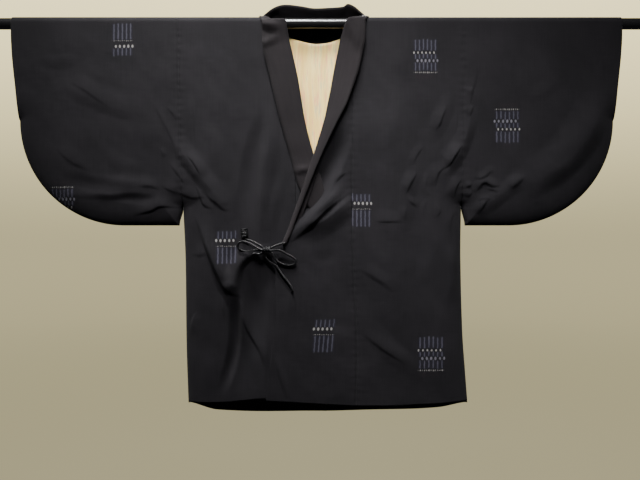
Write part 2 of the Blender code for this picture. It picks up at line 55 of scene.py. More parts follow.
# Body outline, height against x
rightSide = ((rodTop, -296), (-395, -285), (-500, -280.5), (-690, -278), (-810, -274))
leftSide = ((rodTop, 313), (-391, 309), (-500, 308), (-660, 312), (-740, 317.5), (-812, 323))
rightArmpit = (-285.0, -395.0)
leftArmpit = (309.0, -391.0)
centreBack = ((-46, 0), (-400, 10), (-835, 20))

# Hems, x against height
rightHem = ((-275, -808), (-190, -806), (-109, -799), (0, -803), (150, -808))
leftHem = ((-107, -802), (-78, -803.5), (82, -812), (210, -811), (323, -805.5))
backHem = ((-274, -812), (-215, -832), (0, -835), (92, -833), (262, -827), (323, -812))

# Front edges, long seams and neck, height against x
rightOkumiSeam = ((-40, -43.5), (-812, -43.5))
leftOkumiSeam = ((-40, 75), (-400, 74), (-525, 77.5), (-655, 84), (-812, 84))
rightFold = ((-38, -59), (-60, -54), (-123, -40), (-208, -26), (-285, -6.5), (-357, 16), (-431, 37),
             (-490, 56))
leftFold = ((-38, 51.5), (-66, 45.7), (-104, 38), (-145, 30.6), (-179, 23.8), (-208, 17.6),
            (-266, 0.4), (-308, -13.8), (-366, -32.5), (-421, -52), (-451, -63), (-472, -73))
rightFrontEdge = ((-496, 53), (-570, 120), (-640, 140), (-812, 150))
leftFrontEdge = ((-472, -69), (-500, -80), (-536, -86), (-659, -89), (-742, -100), (-812, -107))
collarTuck = 4.0
rightNeckEdge = ((rodTop, -103.5), (0, -103), (-16, -97), (-28, -90.5), (-37, -83), (-60, -58))
leftNeckEdge = ((rodTop, 103.5), (0, 103), (-16, 93), (-28, 83), (-37, 77), (-60, 51))
backNeckEdge = ((rodTop, 102), (6, 102), (-7, 98), (-21, 84.5), (-34, 62), (-42, 36), (-46.4, 4))

# Depths below the rod, height against distance from the rod's axis
frontDepth = ((-835, 24), (-520, 26), (-300, 23), (-120, 17.5), (0, arcRadius))
backDepth = ((-835, 21), (-500, 22), (-250, 19), (-46, 15), (0, arcRadius))
sleeveDepth = ((-440, 17), (-200, 17.5), (-80, 15.2), (0, arcRadius))

# How front and back close towards each other at the sides, and how the overlap stands off
closingShape = {"depth": 0.45, "reach": 70.0, "roundness": 2.4, "armholeBlend": 70.0, "foldsBegin": 60.0}
overlapLift = {"height": 7.2, "fromX": 230.0, "toX": 150.0, "fromZ": -100.0, "toZ": -255.0}

# Sleeve outline, and the hair's breadth that sleeve and body keep from each other, wider near the armpit
sleeveShape = {"cuffTop": 650.0, "cuffStraight": -18.0, "cornerX": 411.0, "cornerZ": -208.0,
               "cornerRadius": 224.0, "release": 8.0}
pinchShape = {"least": 0.02, "above": 60.0}


def along(table, place):
    rows = np.array(sorted(table), float)
    at, value = rows[:, 0], rows[:, 1]
    steps = np.arange(len(at))
    low, high = np.maximum(steps - 1, 0), np.minimum(steps + 1, len(at) - 1)
    slope = (value[high] - value[low]) / (at[high] - at[low])
    place = np.clip(place, at[0], at[-1])
    after = np.clip(np.searchsorted(at, place), 1, len(at) - 1)
    before = after - 1
    span = at[after] - at[before]
    t = (place - at[before]) / span
    return ((2 * t ** 3 - 3 * t ** 2 + 1) * value[before] + (3 * t ** 2 - 2 * t ** 3) * value[after]
            + span * slope[before] * (t ** 3 - 2 * t ** 2 + t) + span * slope[after] * (t ** 3 - t ** 2))


def softStep(value):
    t = np.clip(value, 0.0, 1.0)
    return t * t * (3 - 2 * t)


def ramp(value, start, end):
    return softStep((value - start) / (end - start))


def mix(a, b, share):
    return a + (b - a) * share


def refine(points, steps, axis=0):
    # more points between the given ones, on smooth curves
    rows = np.moveaxis(np.asarray(points, float), axis, 0)
    ends = np.concatenate([2 * rows[:1] - rows[1:2], rows, 2 * rows[-1:] - rows[-2:-1]])
    finer = []
    for i in range(len(rows) - 1):
        a, b, c, d = ends[i:i + 4]
        for t in np.arange(steps) / steps:
            finer.append((2 * b + (c - a) * t + (2 * a - 5 * b + 4 * c - d) * t ** 2
                          + (3 * b - a - 3 * c + d) * t ** 3) / 2)
    return np.moveaxis(np.array(finer + [rows[-1]]), 0, axis)


# Folds that the solids have too: route of places (x, z), half width, height (below 0 for a valley), and
# where they aren't 0 the crest's sharpness up to 1 and its lean, which makes one side of it steeper
frontFolds = (
    (((-311, -238), (-254, -319), (-186, -400)), 24, 5, 0.2, 0.2),
    (((-250, -434), (-177, -580), (-115, -786)), 22, 4, 0.1, 0.0),
    (((-106, -190), (-138, -315), (-142, -450)), 28, -5),
    (((-118, -486), (-127, -560), (-140, -700), (-150, -810)), 40, -8),
    (((-176, -590), (-184, -667), (-180, -790)), 26, -1.5),
    (((-560, -118), (-468, -164), (-340, -205)), 34, 2, 0.0, 0.2),
    (((-560, -330), (-470, -352), (-330, -372)), 26, -4),
    (((334, -174), (309, -264), (258, -347)), 24, 6, 0.3, -0.2),
    (((284, -150), (262, -211), (240, -262)), 22, 2.4, 0.1, 0.0),
    (((216, -300), (190, -374), (190, -450)), 22, 3, 0.1, 0.0),
    (((456, -322), (409, -353), (335, -412)), 22, 3, 0.1, 0.0),
    (((90, -620), (150, -690), (225, -750)), 26, 2),
    (((284, -461), (292, -538), (279, -606)), 20, 3),
)
tieFold = (((86, -366), (22, -418), (-28, -444)), 28, 8, 0.35, 0.3)
backFolds = (
    (((-320, -220), (-262, -310), (-190, -392)), 26, 5, 0.2, 0.2),
    (((330, -190), (296, -280), (236, -372)), 26, 5, 0.2, -0.2),
    (((-120, -300), (-132, -480), (-118, -720)), 30, 4),
    (((150, -260), (168, -470), (150, -700)), 32, 4),
    (((-520, -150), (-470, -180), (-380, -196)), 34, 4, 0.2, 0.0),
    (((500, -140), (455, -176), (372, -204)), 34, 4, 0.2, 0.0),
    (((30, -520), (44, -640), (36, -790)), 24, 3),
)

# Softer forms that only the shells have, in the same columns
frontCreases = (
    (((-118, -490), (-127, -550), (-134, -640), (-146, -760)), 33, -5),
    (((-168, -530), (-169, -640), (-174, -700), (-184, -745), (-204, -800)), 16, -12, 0.0, -0.15),
    (((-170, -548), (-186, -562), (-206, -560)), 16, 2.5, 0.2, 0.0),
    (((-69, -304), (-86, -389), (-95, -463)), 16, 2.0, 0.1, 0.0),
    (((-266, -312), (-256, -332)), 6, 0.8, 0.3, 0.0),
    (((-600, -70), (-560, -84), (-505, -80)), 18, 0.8),
    (((-455, -262), (-420, -300), (-360, -318)), 22, 0.9, 0.1, 0.0),
    (((520, -110), (478, -150), (430, -158)), 22, 0.8, 0.1, 0.0),
    (((575, -255), (530, -290), (470, -300)), 24, -1.2),
    (((-240, -210), (-214, -260), (-206, -318)), 22, 1.0, 0.1, 0.0),
    (((150, -120), (170, -200), (150, -290)), 26, 1.2),
    (((236, -470), (226, -560), (240, -640)), 24, 1.2),
    (((-236, -690), (-226, -740), (-232, -800)), 18, 1.0),
)
okumiCreases = (
    (((66, -200), (38, -288), (6, -348), (-26, -398), (-56, -450)), 27, -11),
    (((70, -330), (26, -378), (-20, -420), (-62, -462)), 17, 5, 0.1, 0.0),
    (((50, -505), (20, -500), (-10, -512)), 20, -1.0),
    (((-50, -560), (-62, -610), (-58, -680)), 20, 1.2),
    (((84, -655), (50, -640), (20, -650)), 20, -0.8),
)
backCreases = (
    (((-60, -120), (-72, -210), (-64, -300)), 24, 1.2),
    (((90, -100), (104, -190), (96, -280)), 24, 1.2),
    (((-470, -330), (-410, -352), (-330, -356)), 22, -2.4, 0.2, 0.0),
    (((455, -320), (412, -346), (350, -352)), 22, -2.2, 0.2, 0.0),
    (((-580, -90), (-520, -112), (-450, -108)), 22, 0.9),
    (((590, -120), (540, -150), (470, -150)), 22, 0.9),
    (((-30, -520), (10, -560), (64, -574)), 22, -1.2, 0.1, 0.0),
)

# Sharp creases: route, half width of the steep face, length of the gentle side, height, and the side of
# the route that the gentle side is on (1 for the left hand of someone who follows the route)
frontLines = (
    (((-262, -405), (-248, -437), (-238, -467), (-229, -490), (-219, -515), (-209, -538), (-200, -558),
      (-187, -572), (-168, -582), (-150, -590)), 3.2, 34, 8, 1),
    (((-168, -578), (-161, -605), (-158, -622), (-149, -650), (-138, -671), (-122, -698), (-112, -722),
      (-105, -746)), 1.8, 26, 3.8, 1),
    (((-202, -566), (-200, -595), (-197, -630)), 1.5, 12, 0.92, 1),
    (((-250, -612), (-259, -622), (-266, -640), (-268, -668)), 1.8, 22, 2.8, 1),
    (((-268, -492), (-247, -497), (-226, -488)), 4, 27, 1.3, 1),
    (((-104, -150), (-113, -250), (-121, -350), (-123, -430), (-116, -486)), 9, 34, 7, 1),
    (((-146, -616), (-158, -590), (-163, -560), (-161, -533), (-151, -512), (-135, -501), (-113, -502),
      (-92, -512)), 7, 28, 10, 1),
    (((-278, -282), (-262, -298), (-250, -318), (-241, -337)), 1.58, 30, 2.4, 1),
    (((-234, -360), (-226, -375), (-210, -388), (-196, -400), (-180, -403)), 2.16, 25, 2.2, 1),
    (((-258, -343), (-250, -362), (-245, -376), (-237, -391), (-214, -400)), 1.58, 22, 2.3, 1),
    (((-300, -360), (-276, -372), (-258, -376), (-232, -372)), 2.4, 27, 2.4, 1),
    (((-330, -350), (-304, -362), (-286, -366)), 1.8, 22, 1.3, 1),
    (((-384, -350), (-352, -351), (-326, -360)), 1.8, 22, 1.2, 1),
    (((-334, -190), (-316, -232), (-303, -262), (-297, -296), (-301, -330)), 1.5, 18, 1.4, 1),
    (((-346, -176), (-328, -212), (-320, -246)), 1.5, 12, 0.7, 1),
    (((-320, -180), (-303, -200), (-300, -212)), 1.5, 12, 0.92, 1),
    (((-334, -268), (-322, -292)), 1.5, 11, 0.92, 1),
    (((-520, -366), (-440, -374), (-400, -370), (-352, -372), (-330, -384)), 8, 44, 6.4, 1),
    (((-395, -413), (-352, -403), (-332, -394), (-297, -394)), 2.16, 27, 3.2, 1),
    (((-530, -128), (-500, -142), (-468, -164), (-434, -187)), 2.3, 32, 1.1, 1),
    (((-560, -262), (-520, -300), (-470, -320)), 4, 30, 1.1, 1),
    (((276, -180), (266, -205), (262, -217), (249, -237)), 1.5, 27, 2.4, -1),
    (((334, -176), (325, -204)), 1.58, 22, 2.2, -1),
    (((332, -138), (328, -158)), 1.5, 18, 1.4, -1),
    (((311, -258), (292, -288), (282, -304), (266, -315)), 2.4, 32, 4.6, -1),
    (((276, -306), (257, -325), (252, -356)), 1.87, 27, 2, -1),
    (((230, -262), (212, -287), (204, -310)), 1.6, 18, 1.4, -1),
    (((214, -318), (203, -338), (192, -360), (188, -373)), 1.5, 27, 3, -1),
    (((188, -373), (199, -385), (216, -398)), 1.5, 16, 1.5, 1),
    (((190, -390), (188, -425)), 1.5, 18, 1.2, -1),
    (((309, -333), (297, -351), (291, -379)), 1.58, 22, 2.8, -1),
    (((328, -331), (345, -334), (360, -328), (369, -320), (382, -322)), 1.58, 16, 2.4, 1),
    (((334, -367), (347, -351), (357, -343), (373, -350), (396, -350)), 2.16, 18, 3.7, 1),
    (((316, -354), (332, -346)), 1.5, 15, 2, 1),
    (((358, -354), (388, -363)), 1.5, 15, 1.7, 1),
    (((366, -374), (357, -387), (350, -400), (344, -412)), 1.73, 22, 3.1, -1),
    (((321, -376), (331, -359)), 1.5, 15, 1.5, 1),
    (((340, -384), (352, -377), (372, -378)), 1.5, 15, 1.2, 1),
    (((256, -375), (259, -392), (262, -404), (249, -421)), 1.5, 18, 1.2, -1),
    (((408, -359), (426, -345), (443, -327)), 4, 24, 3.4, 1),
    (((303, -410), (318, -420), (331, -427)), 1.5, 15, 1.5, 1),
    (((640, -110), (606, -222), (545, -306), (475, -356), (412, -368)), 19, 60, 11, -1),
    (((112, -424), (150, -426), (190, -425)), 1.58, 27, 1.2, 1),
    (((88, -655), (143, -697), (199, -731)), 2.16, 25, 1.4, 1),
    (((80, -520), (126, -548), (171, -578)), 5, 24, 1.8, 1),
    (((294, -461), (292, -533), (298, -606)), 2.16, 30, 1.7, -1),
    (((236, -372), (228, -398), (232, -420)), 1.5, 11, 0.92, -1),
    (((300, -190), (296, -228), (284, -250)), 1.58, 15, 0.8, -1),
    (((348, -84), (337, -130), (328, -166), (320, -206)), 1.6, 22, 1.2, -1),
    (((238, -318), (232, -350), (246, -374)), 1.6, 16, 1.2, -1),
    (((300, -398), (286, -420), (284, -452)), 1.6, 18, 1.2, -1),
    (((-262, -150), (-258, -210), (-262, -270)), 1.8, 24, 0.9, -1),
    (((-318, -296), (-290, -330), (-276, -352)), 1.6, 18, 1.2, 1),
)
okumiLines = (
    (((79, -356), (50, -380), (20, -405), (-5, -430), (-35, -455), (-64, -474)), 4.5, 26, 8.2, -1),
    (((-95, -697), (-86, -722), (-78, -750), (-70, -778), (-63, -806)), 2.0, 14, 2, 1),
    (((66, -322), (52, -330), (40, -346)), 2.4, 12, 1.5, -1),
)
backLines = (
    (((236, -300), (214, -350), (178, -388)), 2.4, 18, 2.4, -1),
    (((262, -420), (236, -500), (210, -586), (186, -600)), 3.0, 30, 3.5, -1),
    (((-262, -300), (-236, -352), (-198, -392)), 2.4, 18, 2.6, 1),
    (((-286, -352), (-262, -362), (-240, -360)), 2.2, 12, 2.2, 1),
    (((-288, -430), (-262, -510), (-244, -584)), 2.6, 24, 2.4, 1),
    (((310, -250), (290, -286), (272, -306)), 2.4, 14, 2.6, -1),
    (((322, -344), (344, -350), (362, -344), (388, -350)), 2.2, 10, 2.1, 1),
    (((-392, -346), (-356, -356), (-318, -352)), 2.2, 10, 2, 1),
    (((-340, -330), (-326, -340)), 2.0, 9, 1.3, 1),
    (((-200, -620), (-176, -690), (-182, -770)), 3.0, 20, 1.8, 1),
    (((210, -600), (226, -680), (218, -760)), 3.0, 20, 1.8, -1),
    (((-500, -372), (-440, -378), (-390, -376)), 7.0, 40, 3.7, 1),
    (((410, -376), (450, -374), (505, -362)), 7.0, 40, 3.3, 1),
    (((-520, -120), (-480, -150), (-430, -176)), 3.2, 24, 1.1, 1),
    (((350, -170), (340, -204), (324, -226)), 2.2, 12, 1.3, -1),
)

# Slow unevenness of hung cloth: wave length, direction in degrees, height, phase
ripples = ((170, 18, 0.5, 0.3), (103, 104, 0.22, 1.9), (64, 63, 0.13, 4.1), (43, 151, 0.09, 2.2),
           (29, 38, 0.055, 5.0), (19, 121, 0.035, 0.9), (13, 80, 0.022, 1.4))

# How far the waves wander off their direction, over how many wave lengths, and how far the back's are moved
rippleBend = {"height": 0.9, "longer": 2.3, "backShift": 400}

# How steeply a crease's ends rise from the cloth, along the whole route, the power of a sharp crest, and
# into how many steps a route's stretches are refined
creaseShape = {"softEnds": 2.6, "sharpEnds": 2.3, "crestPower": 2.2, "routeSteps": 4}


def alongRoute(route, x, z, reach):
    # places within reach of a route: which they are, how far off, how far along (0 to 1), and on which side
    route = refine(np.array(route, float), creaseShape["routeSteps"])
    low, high = route.min(axis=0) - reach, route.max(axis=0) + reach
    near = np.flatnonzero((x > low[0]) & (x < high[0]) & (z > low[1]) & (z < high[1]))
    x, z = x[near], z[near]
    lengths = np.hypot(*np.diff(route, axis=0).T)
    nearest, place, side = np.full(x.shape, np.inf), np.zeros(x.shape), np.zeros(x.shape)
    done = 0.0
    for start, end, length in zip(route, route[1:], lengths):
        run = (end - start) / length
        t = np.clip((x - start[0]) * run[0] + (z - start[1]) * run[1], 0, length)
        off = np.hypot(x - start[0] - run[0] * t, z - start[1] - run[1] * t)
        nearer = off < nearest
        nearest = np.where(nearer, off, nearest)
        place = np.where(nearer, (done + t) / lengths.sum(), place)
        side = np.where(nearer, np.sign(run[0] * (z - start[1]) - run[1] * (x - start[0])), side)
        done += length
    return near, nearest, place, side


def fadeEnds(place, steepness):
    return softStep(place * steepness) * softStep((1 - place) * steepness)


def creaseHeight(x, z, route, halfWidth, height, sharp=0.0, lean=0.0):
    near, off, place, side = alongRoute(route, x, z, halfWidth * (1 + abs(lean)))
    q = np.clip(off / (halfWidth * (1 + lean * side)), 0, 1)
    crest = mix((1 - q ** 2) ** 2, (1 - q) ** creaseShape["crestPower"], sharp)
    return near, height * crest * fadeEnds(place, creaseShape["softEnds"])


def lineHeight(x, z, route, halfFace, gentle, height, hand):
    near, off, place, side = alongRoute(route, x, z, gentle + halfFace)
    signed = off * side * hand
    rise = softStep((signed + halfFace) / (2 * halfFace)) * (1 - softStep((signed - halfFace) / gentle))
    return near, height * rise * fadeEnds(place, creaseShape["sharpEnds"])


def reliefOf(folds, lines, x, z):
    total = np.zeros(x.shape)
    for rows, shapeOf in ((folds, creaseHeight), (lines, lineHeight)):
        for row in rows:
            near, height = shapeOf(x, z, *row)
            total[near] += height
    return total


def rippleHeight(x, z):
    total = 0.0
    for length, degrees, height, phase in ripples:
        angle = math.radians(degrees)
        way = (x * math.cos(angle) + z * math.sin(angle)) * 2 * math.pi / length
        across = (x * math.sin(angle) - z * math.cos(angle)) * 2 * math.pi / (length * rippleBend["longer"])
        total = total + height * np.sin(way + rippleBend["height"] * np.sin(across + phase) + phase)
    return total


def closing(distance):
    t = np.clip(distance / closingShape["reach"], 0, 1)
    return np.sqrt(1 - (1 - t) ** closingShape["roundness"])


def pinch(z, armpit):
    return pinchShape["least"] + softStep((armpit[1] + pinchShape["above"] - z) / pinchShape["above"])


def pastArmpit(x, z, edge, armpit):
    # distance to a side edge below the armpit, and to the armpit itself above it
    return np.where(z < armpit[1], np.abs(x - edge), np.hypot(x - armpit[0], z - armpit[1]))


def bodyDistance(x, z):
    return np.minimum(pastArmpit(x, z, along(rightSide, z), rightArmpit),
                      pastArmpit(x, z, along(leftSide, z), leftArmpit))


def sleeveInner(z, hand):
    armpit = halves[hand]["armpit"]
    bottom = sleeveShape["cornerZ"] - sleeveShape["cornerRadius"]
    free = softStep((armpit[1] - z) / (armpit[1] - bottom)) * sleeveShape["release"]
    return along(halves[hand]["side"], np.maximum(z, armpit[1])) + hand * (free + pinch(z, armpit))


def sleeveDistance(x, z):
    hand = left if np.mean(x) > 0 else right
    radius = sleeveShape["cornerRadius"]
    inner = pastArmpit(x, z, sleeveInner(z, hand), halves[hand]["armpit"])
    out, up = np.abs(x) - sleeveShape["cornerX"], z - sleeveShape["cornerZ"]
    corner = radius - np.hypot(out, up)
    cuff = np.hypot(sleeveShape["cornerX"] + radius - np.abs(x), up)
    edge = np.where(out <= 0, up + radius, np.where(up < 0, corner, cuff))
    return np.minimum(inner, np.maximum(edge, 0))


def depth(face, x, z, distance, folds, lines):
    body = along(frontDepth if face == front else backDepth, z)
    sleeve = along(sleeveDepth, z)
    above = np.maximum(z, leftArmpit[1])
    seam = np.where(x > 0, along(leftSide, above), -along(rightSide, above))
    blend = closingShape["armholeBlend"]
    out = (np.abs(x) - seam + blend) / (2 * blend)
    fade = softStep(-z / closingShape["foldsBegin"])
    ripple = rippleHeight(x, z + rippleBend["backShift"] * face)
    relief = reliefOf(folds, lines, x, z) * fade + ripple * fade
    return mix(closingShape["depth"], mix(body, sleeve, softStep(out)) + relief, closing(distance(x, z)))


def hang(face, x, z, distance=bodyDistance, creases=((), ()), lift=0.0):
    # the place of a plan point, creases being soft folds and sharp lines
    x, z = np.asarray(x, float), np.asarray(z, float)
    angle = np.maximum(z, 0) / arcRadius
    straight = depth(face, x, np.minimum(z, 0), distance, *creases) + lift
    y = np.where(z > 0, (arcRadius + lift) * np.cos(angle), straight)
    height = np.where(z > 0, (arcRadius + lift) * np.sin(angle), z)
    return np.stack([x, face * y, height], axis=-1)


def noLift(x, z):
    return np.zeros(np.shape(x))


def liftOverlap(x, z):
    lift = overlapLift
    return lift["height"] * ramp(x, lift["fromX"], lift["toX"]) * ramp(z, lift["fromZ"], lift["toZ"])


# What differs between the wearer's right half and left half
halves = {
    right: {"name": "right", "side": rightSide, "armpit": rightArmpit, "hem": rightHem, "fold": rightFold,
            "okumiSeam": rightOkumiSeam, "frontEdge": rightFrontEdge, "neckEdge": rightNeckEdge,
            "body": {"flat": (0.30, 1.69), "area": 0.44}, "sleeve": {"flat": (0.365, 0.91), "area": 0.29},
            "okumi": {"flat": (0.20, 0.665), "area": 0.085}, "lift": noLift},
    left: {"name": "left", "side": leftSide, "armpit": leftArmpit, "hem": leftHem, "fold": leftFold,
           "okumiSeam": leftOkumiSeam, "frontEdge": leftFrontEdge, "neckEdge": leftNeckEdge,
           "body": {"flat": (0.31, 1.69), "area": 0.46}, "sleeve": {"flat": (0.34, 0.91), "area": 0.27},
           "okumi": {"flat": (0.195, 0.775), "area": 0.098}, "lift": liftOverlap},
}

# Camera at the photo's viewing angle, level and square to the rod
shot = {"place": (0.0074, -1.515, -0.4636), "focalPixels": 706.2, "photoWidth": 640, "sensorWidth": 36.0}


def aimCamera():
    lens = bpy.data.cameras.new("photoLens")
    lens.sensor_width = shot["sensorWidth"]
    lens.lens = shot["focalPixels"] / shot["photoWidth"] * shot["sensorWidth"]
    lens.clip_start, lens.clip_end = 0.01, 50
    camera = bpy.data.objects.new("photoCamera", lens)
    camera.location = shot["place"]
    camera.rotation_euler = (math.pi / 2, 0, 0)
    bpy.context.scene.collection.objects.link(camera)
    bpy.context.scene.camera = camera


aimCamera()
print("camera set")


class Wire:
    # an output of a node that adds, subtracts, multiplies and divides as a number does
    def __init__(self, board, socket):
        self.board, self.socket = board, socket

    def __add__(self, other):
        return self.board.maths("ADD", self, other)

    __radd__ = __add__

    def __sub__(self, other):
        return self.board.maths("SUBTRACT", self, other)

    def __rsub__(self, other):
        return self.board.maths("SUBTRACT", other, self)

    def __mul__(self, other):
        return self.board.maths("MULTIPLY", self, other)

    __rmul__ = __mul__

    def __truediv__(self, other):
        return self.board.maths("DIVIDE", self, other)


class Board:
    # the node tree of one material
    def __init__(self, name, **fixed):
        self.material = bpy.data.materials.new(name)
        self.material.use_nodes = True
        self.tree = self.material.node_tree
        self.shader = self.tree.nodes["Principled BSDF"]
        for socket, value in fixed.items():
            self.feed(socket.replace("_", " "), value)

    def node(self, kind, settings, values, output=0):
        made = self.tree.nodes.new(kind)
        for key, value in settings.items():
            setattr(made, key, value)
        for key, value in values.items():
            self.put(made.inputs[key], value)
        return Wire(self, made.outputs[output])

    def put(self, socket, value):
        if isinstance(value, Wire):
            self.tree.links.new(value.socket, socket)
        elif isinstance(value, tuple) and len(value) == 3 and len(socket.default_value) == 4:
            socket.default_value = (*value, 1.0)
        else:
            socket.default_value = value

    def feed(self, name, value):
        self.put(self.shader.inputs[name], value)

    def maths(self, operation, *values):
        return self.node("ShaderNodeMath", {"operation": operation}, dict(enumerate(values)))

    def fraction(self, value):
        return value - self.maths("FLOOR", value)

    def coordinates(self, output="Object"):
        return self.node("ShaderNodeTexCoord", {}, {}, output)

    def split(self, vector):
        parts = self.node("ShaderNodeSeparateXYZ", {}, {0: vector}).socket.node
        return [Wire(self, part) for part in parts.outputs]

    def join(self, x, y):
        return self.node("ShaderNodeCombineXYZ", {}, {0: x, 1: y})

    def noise(self, vector, scale, detail=2.0, roughness=0.5, stretch=None):
        if stretch:
            vector = self.node("ShaderNodeMapping", {}, {"Vector": vector, "Scale": stretch})
        return self.node("ShaderNodeTexNoise", {}, {"Vector": vector, "Scale": scale, "Detail": detail,
                                                    "Roughness": roughness})

    def rise(self, value, low, high):
        return self.node("ShaderNodeMapRange", {"interpolation_type": "SMOOTHSTEP"},
                         {"Value": value, "From Min": low, "From Max": high})

    def blend(self, share, first, second):
        return self.node("ShaderNodeMix", {"data_type": "RGBA"}, {0: share, 6: first, 7: second}, 2)

    def bump(self, height, distance, strength, below=None):
        values = {"Height": height, "Distance": distance, "Strength": strength}
        if below:
            values["Normal"] = below
        return self.node("ShaderNodeBump", {}, values)


# Cloth finish: fine silk weave with slubs, and the woven patches where a piece has them. A bump is given
# as its depth and its strength
clothLook = {"dark": (0.0049, 0.0046, 0.0058), "light": (0.0092, 0.0084, 0.0102), "thread": 0.00055,
             "slub": (420, 14, 1), "cross": (16, 520, 1), "cloud": (9, 6, 1), "tone": (0.42, 0.84),
             "toneShares": (0.45, 0.25, 0.55), "weaveBump": (0.00012, 0.5), "slubBump": (0.00025, 0.6),
             "slubHeight": 0.6, "roughness": 0.85, "shine": 0.12, "sheen": 0.04, "sheenRoughness": 0.45}

# Woven patches: colours in the order in which they cover each other, each with how much it covers
patchInks = {"ground": ((0.014, 0.013, 0.027), 0.75), "line": ((0.135, 0.132, 0.178), 0.9),
             "blush": ((0.05, 0.024, 0.028), 0.6), "haze": ((0.36, 0.35, 0.42), 0.85),
             "dot": ((0.62, 0.60, 0.58), 1.0)}

# Lines run down in columns one pitch apart, rows of dots and specks cross them. Heights are counted from
# the end with the long lines. Lines from and to, specks at a height and how tall, dots at a height, how
# wide and tall, how far beside the lines, and their ink
patchKinds = {
    "five": {"flag": 1, "columns": 5, "lines": ((0, 34), (52, 68)), "specks": (36.3, 1.1),
             "dots": ((48.3, 2.6, 3.7, 0.45, "dot"),)},
    "six": {"flag": 2, "columns": 6, "lines": ((0, 23), (31, 41), (49, 66)), "specks": (69.7, 1.9),
            "dots": ((27.4, 1.9, 2.8, -0.35, "dot"), (44.6, 2.5, 3.7, 0.52, "haze"))},
}

# Two sets of specks in each row: how far beside the lines, width, least size, how much it varies, strength
speckSets = ((0.05, 1.6, 0.5, 0.6, 0.75), (0.5, 1.3, 0.4, 0.7, 0.55))
patchWear = {"pitch": 8.9, "lineEdge": (0.08, 0.21), "spotEdge": (0.55, 1.15), "wander": (0.7, 0.05, 3.0),
             "lineWander": 0.35, "spotWander": 3.0, "ragged": 4.0, "flagEdge": 0.04, "rowFrom": -0.45,
             "rowPast": 0.55, "rowEdge": 0.05, "lineEnd": 1.6, "groundEnd": 2.0, "dotEdge": 0.02,
             "dotSize": (0.6, 0.55)}

# Blush of dye past the second kind's lines: where it is across and along, each with its soft edge, the
# stretch and scale of its noise, and where that begins and is full
patchBlush = {"across": (0.0, 4.6, 0.3), "along": (73, 84, 3), "noise": (1.4, 0.16, 3.4),
              "grain": (0.5, 0.66)}

# How far round a patch its field reaches, in columns and in height, and what points outside it have
patchReach = {"middle": 2.5, "columns": 5.5, "below": -22, "above": 106, "outside": (-60.0, -60.0, 0.0)}

# Columns: kind, x of the first line, height of the end with the long lines, the way the patch runs from
# it (1 up, -1 down), pitch, mirrored, slant
frontPatches = (
    ("five", -430.5, -4, -1, 8.9, False, 0.0),
    ("five", -207.2, -513, 1, 9.1, True, 0.0),
    ("five", 76.0, -435, 1, 8.7, False, 0.0),
    ("five", -5.4, -698.5, 1, 9.2, True, 0.085),
    ("six", 209.9, -38.6, -1, 8.5, False, 0.0),
    ("six", 382.1, -256.3, 1, 8.9, True, 0.0),
    ("six", 218.3, -668.8, -1, 9.3, False, 0.0),
    ("six", -561.8, -421.1, 1, 8.5, False, 0.0),
)
backPatches = (
    ("six", -470.0, -150, -1, 8.8, False, 0.0),
    ("five", -232.0, -92, -1, 9.0, True, 0.0),
    ("six", 96.0, -214, 1, 8.8, True, 0.0),
    ("five", -140.0, -440, 1, 9.0, False, 0.03),
    ("six", 196.0, -560, -1, 9.1, False, 0.0),
    ("five", -190.0, -700, -1, 8.9, True, 0.0),
    ("five", 430.0, -330, 1, 8.9, False, 0.0),
)


def patchField(x, z, face):
    # what each point lies on: column count, height in the patch and the flag of its kind
    reach = patchReach
    field = np.zeros((len(x), 3)) + reach["outside"]
    for patches, side in ((frontPatches, front), (backPatches, back)):
        for kind, firstLine, end, way, pitch, mirrored, slant in patches:
            chart = patchKinds[kind]
            rise = (z - end) * way
            column = (x - firstLine - slant * rise) / pitch
            if mirrored:
                column = chart["columns"] - 1 - column
            near = (face == side) & (np.abs(column - reach["middle"]) < reach["columns"]) & (z < rodRadius)
            near &= (rise > reach["below"]) & (rise < reach["above"])
            field[near] = np.stack([column, rise, np.full(len(x), chart["flag"])], axis=1)[near]
    return field


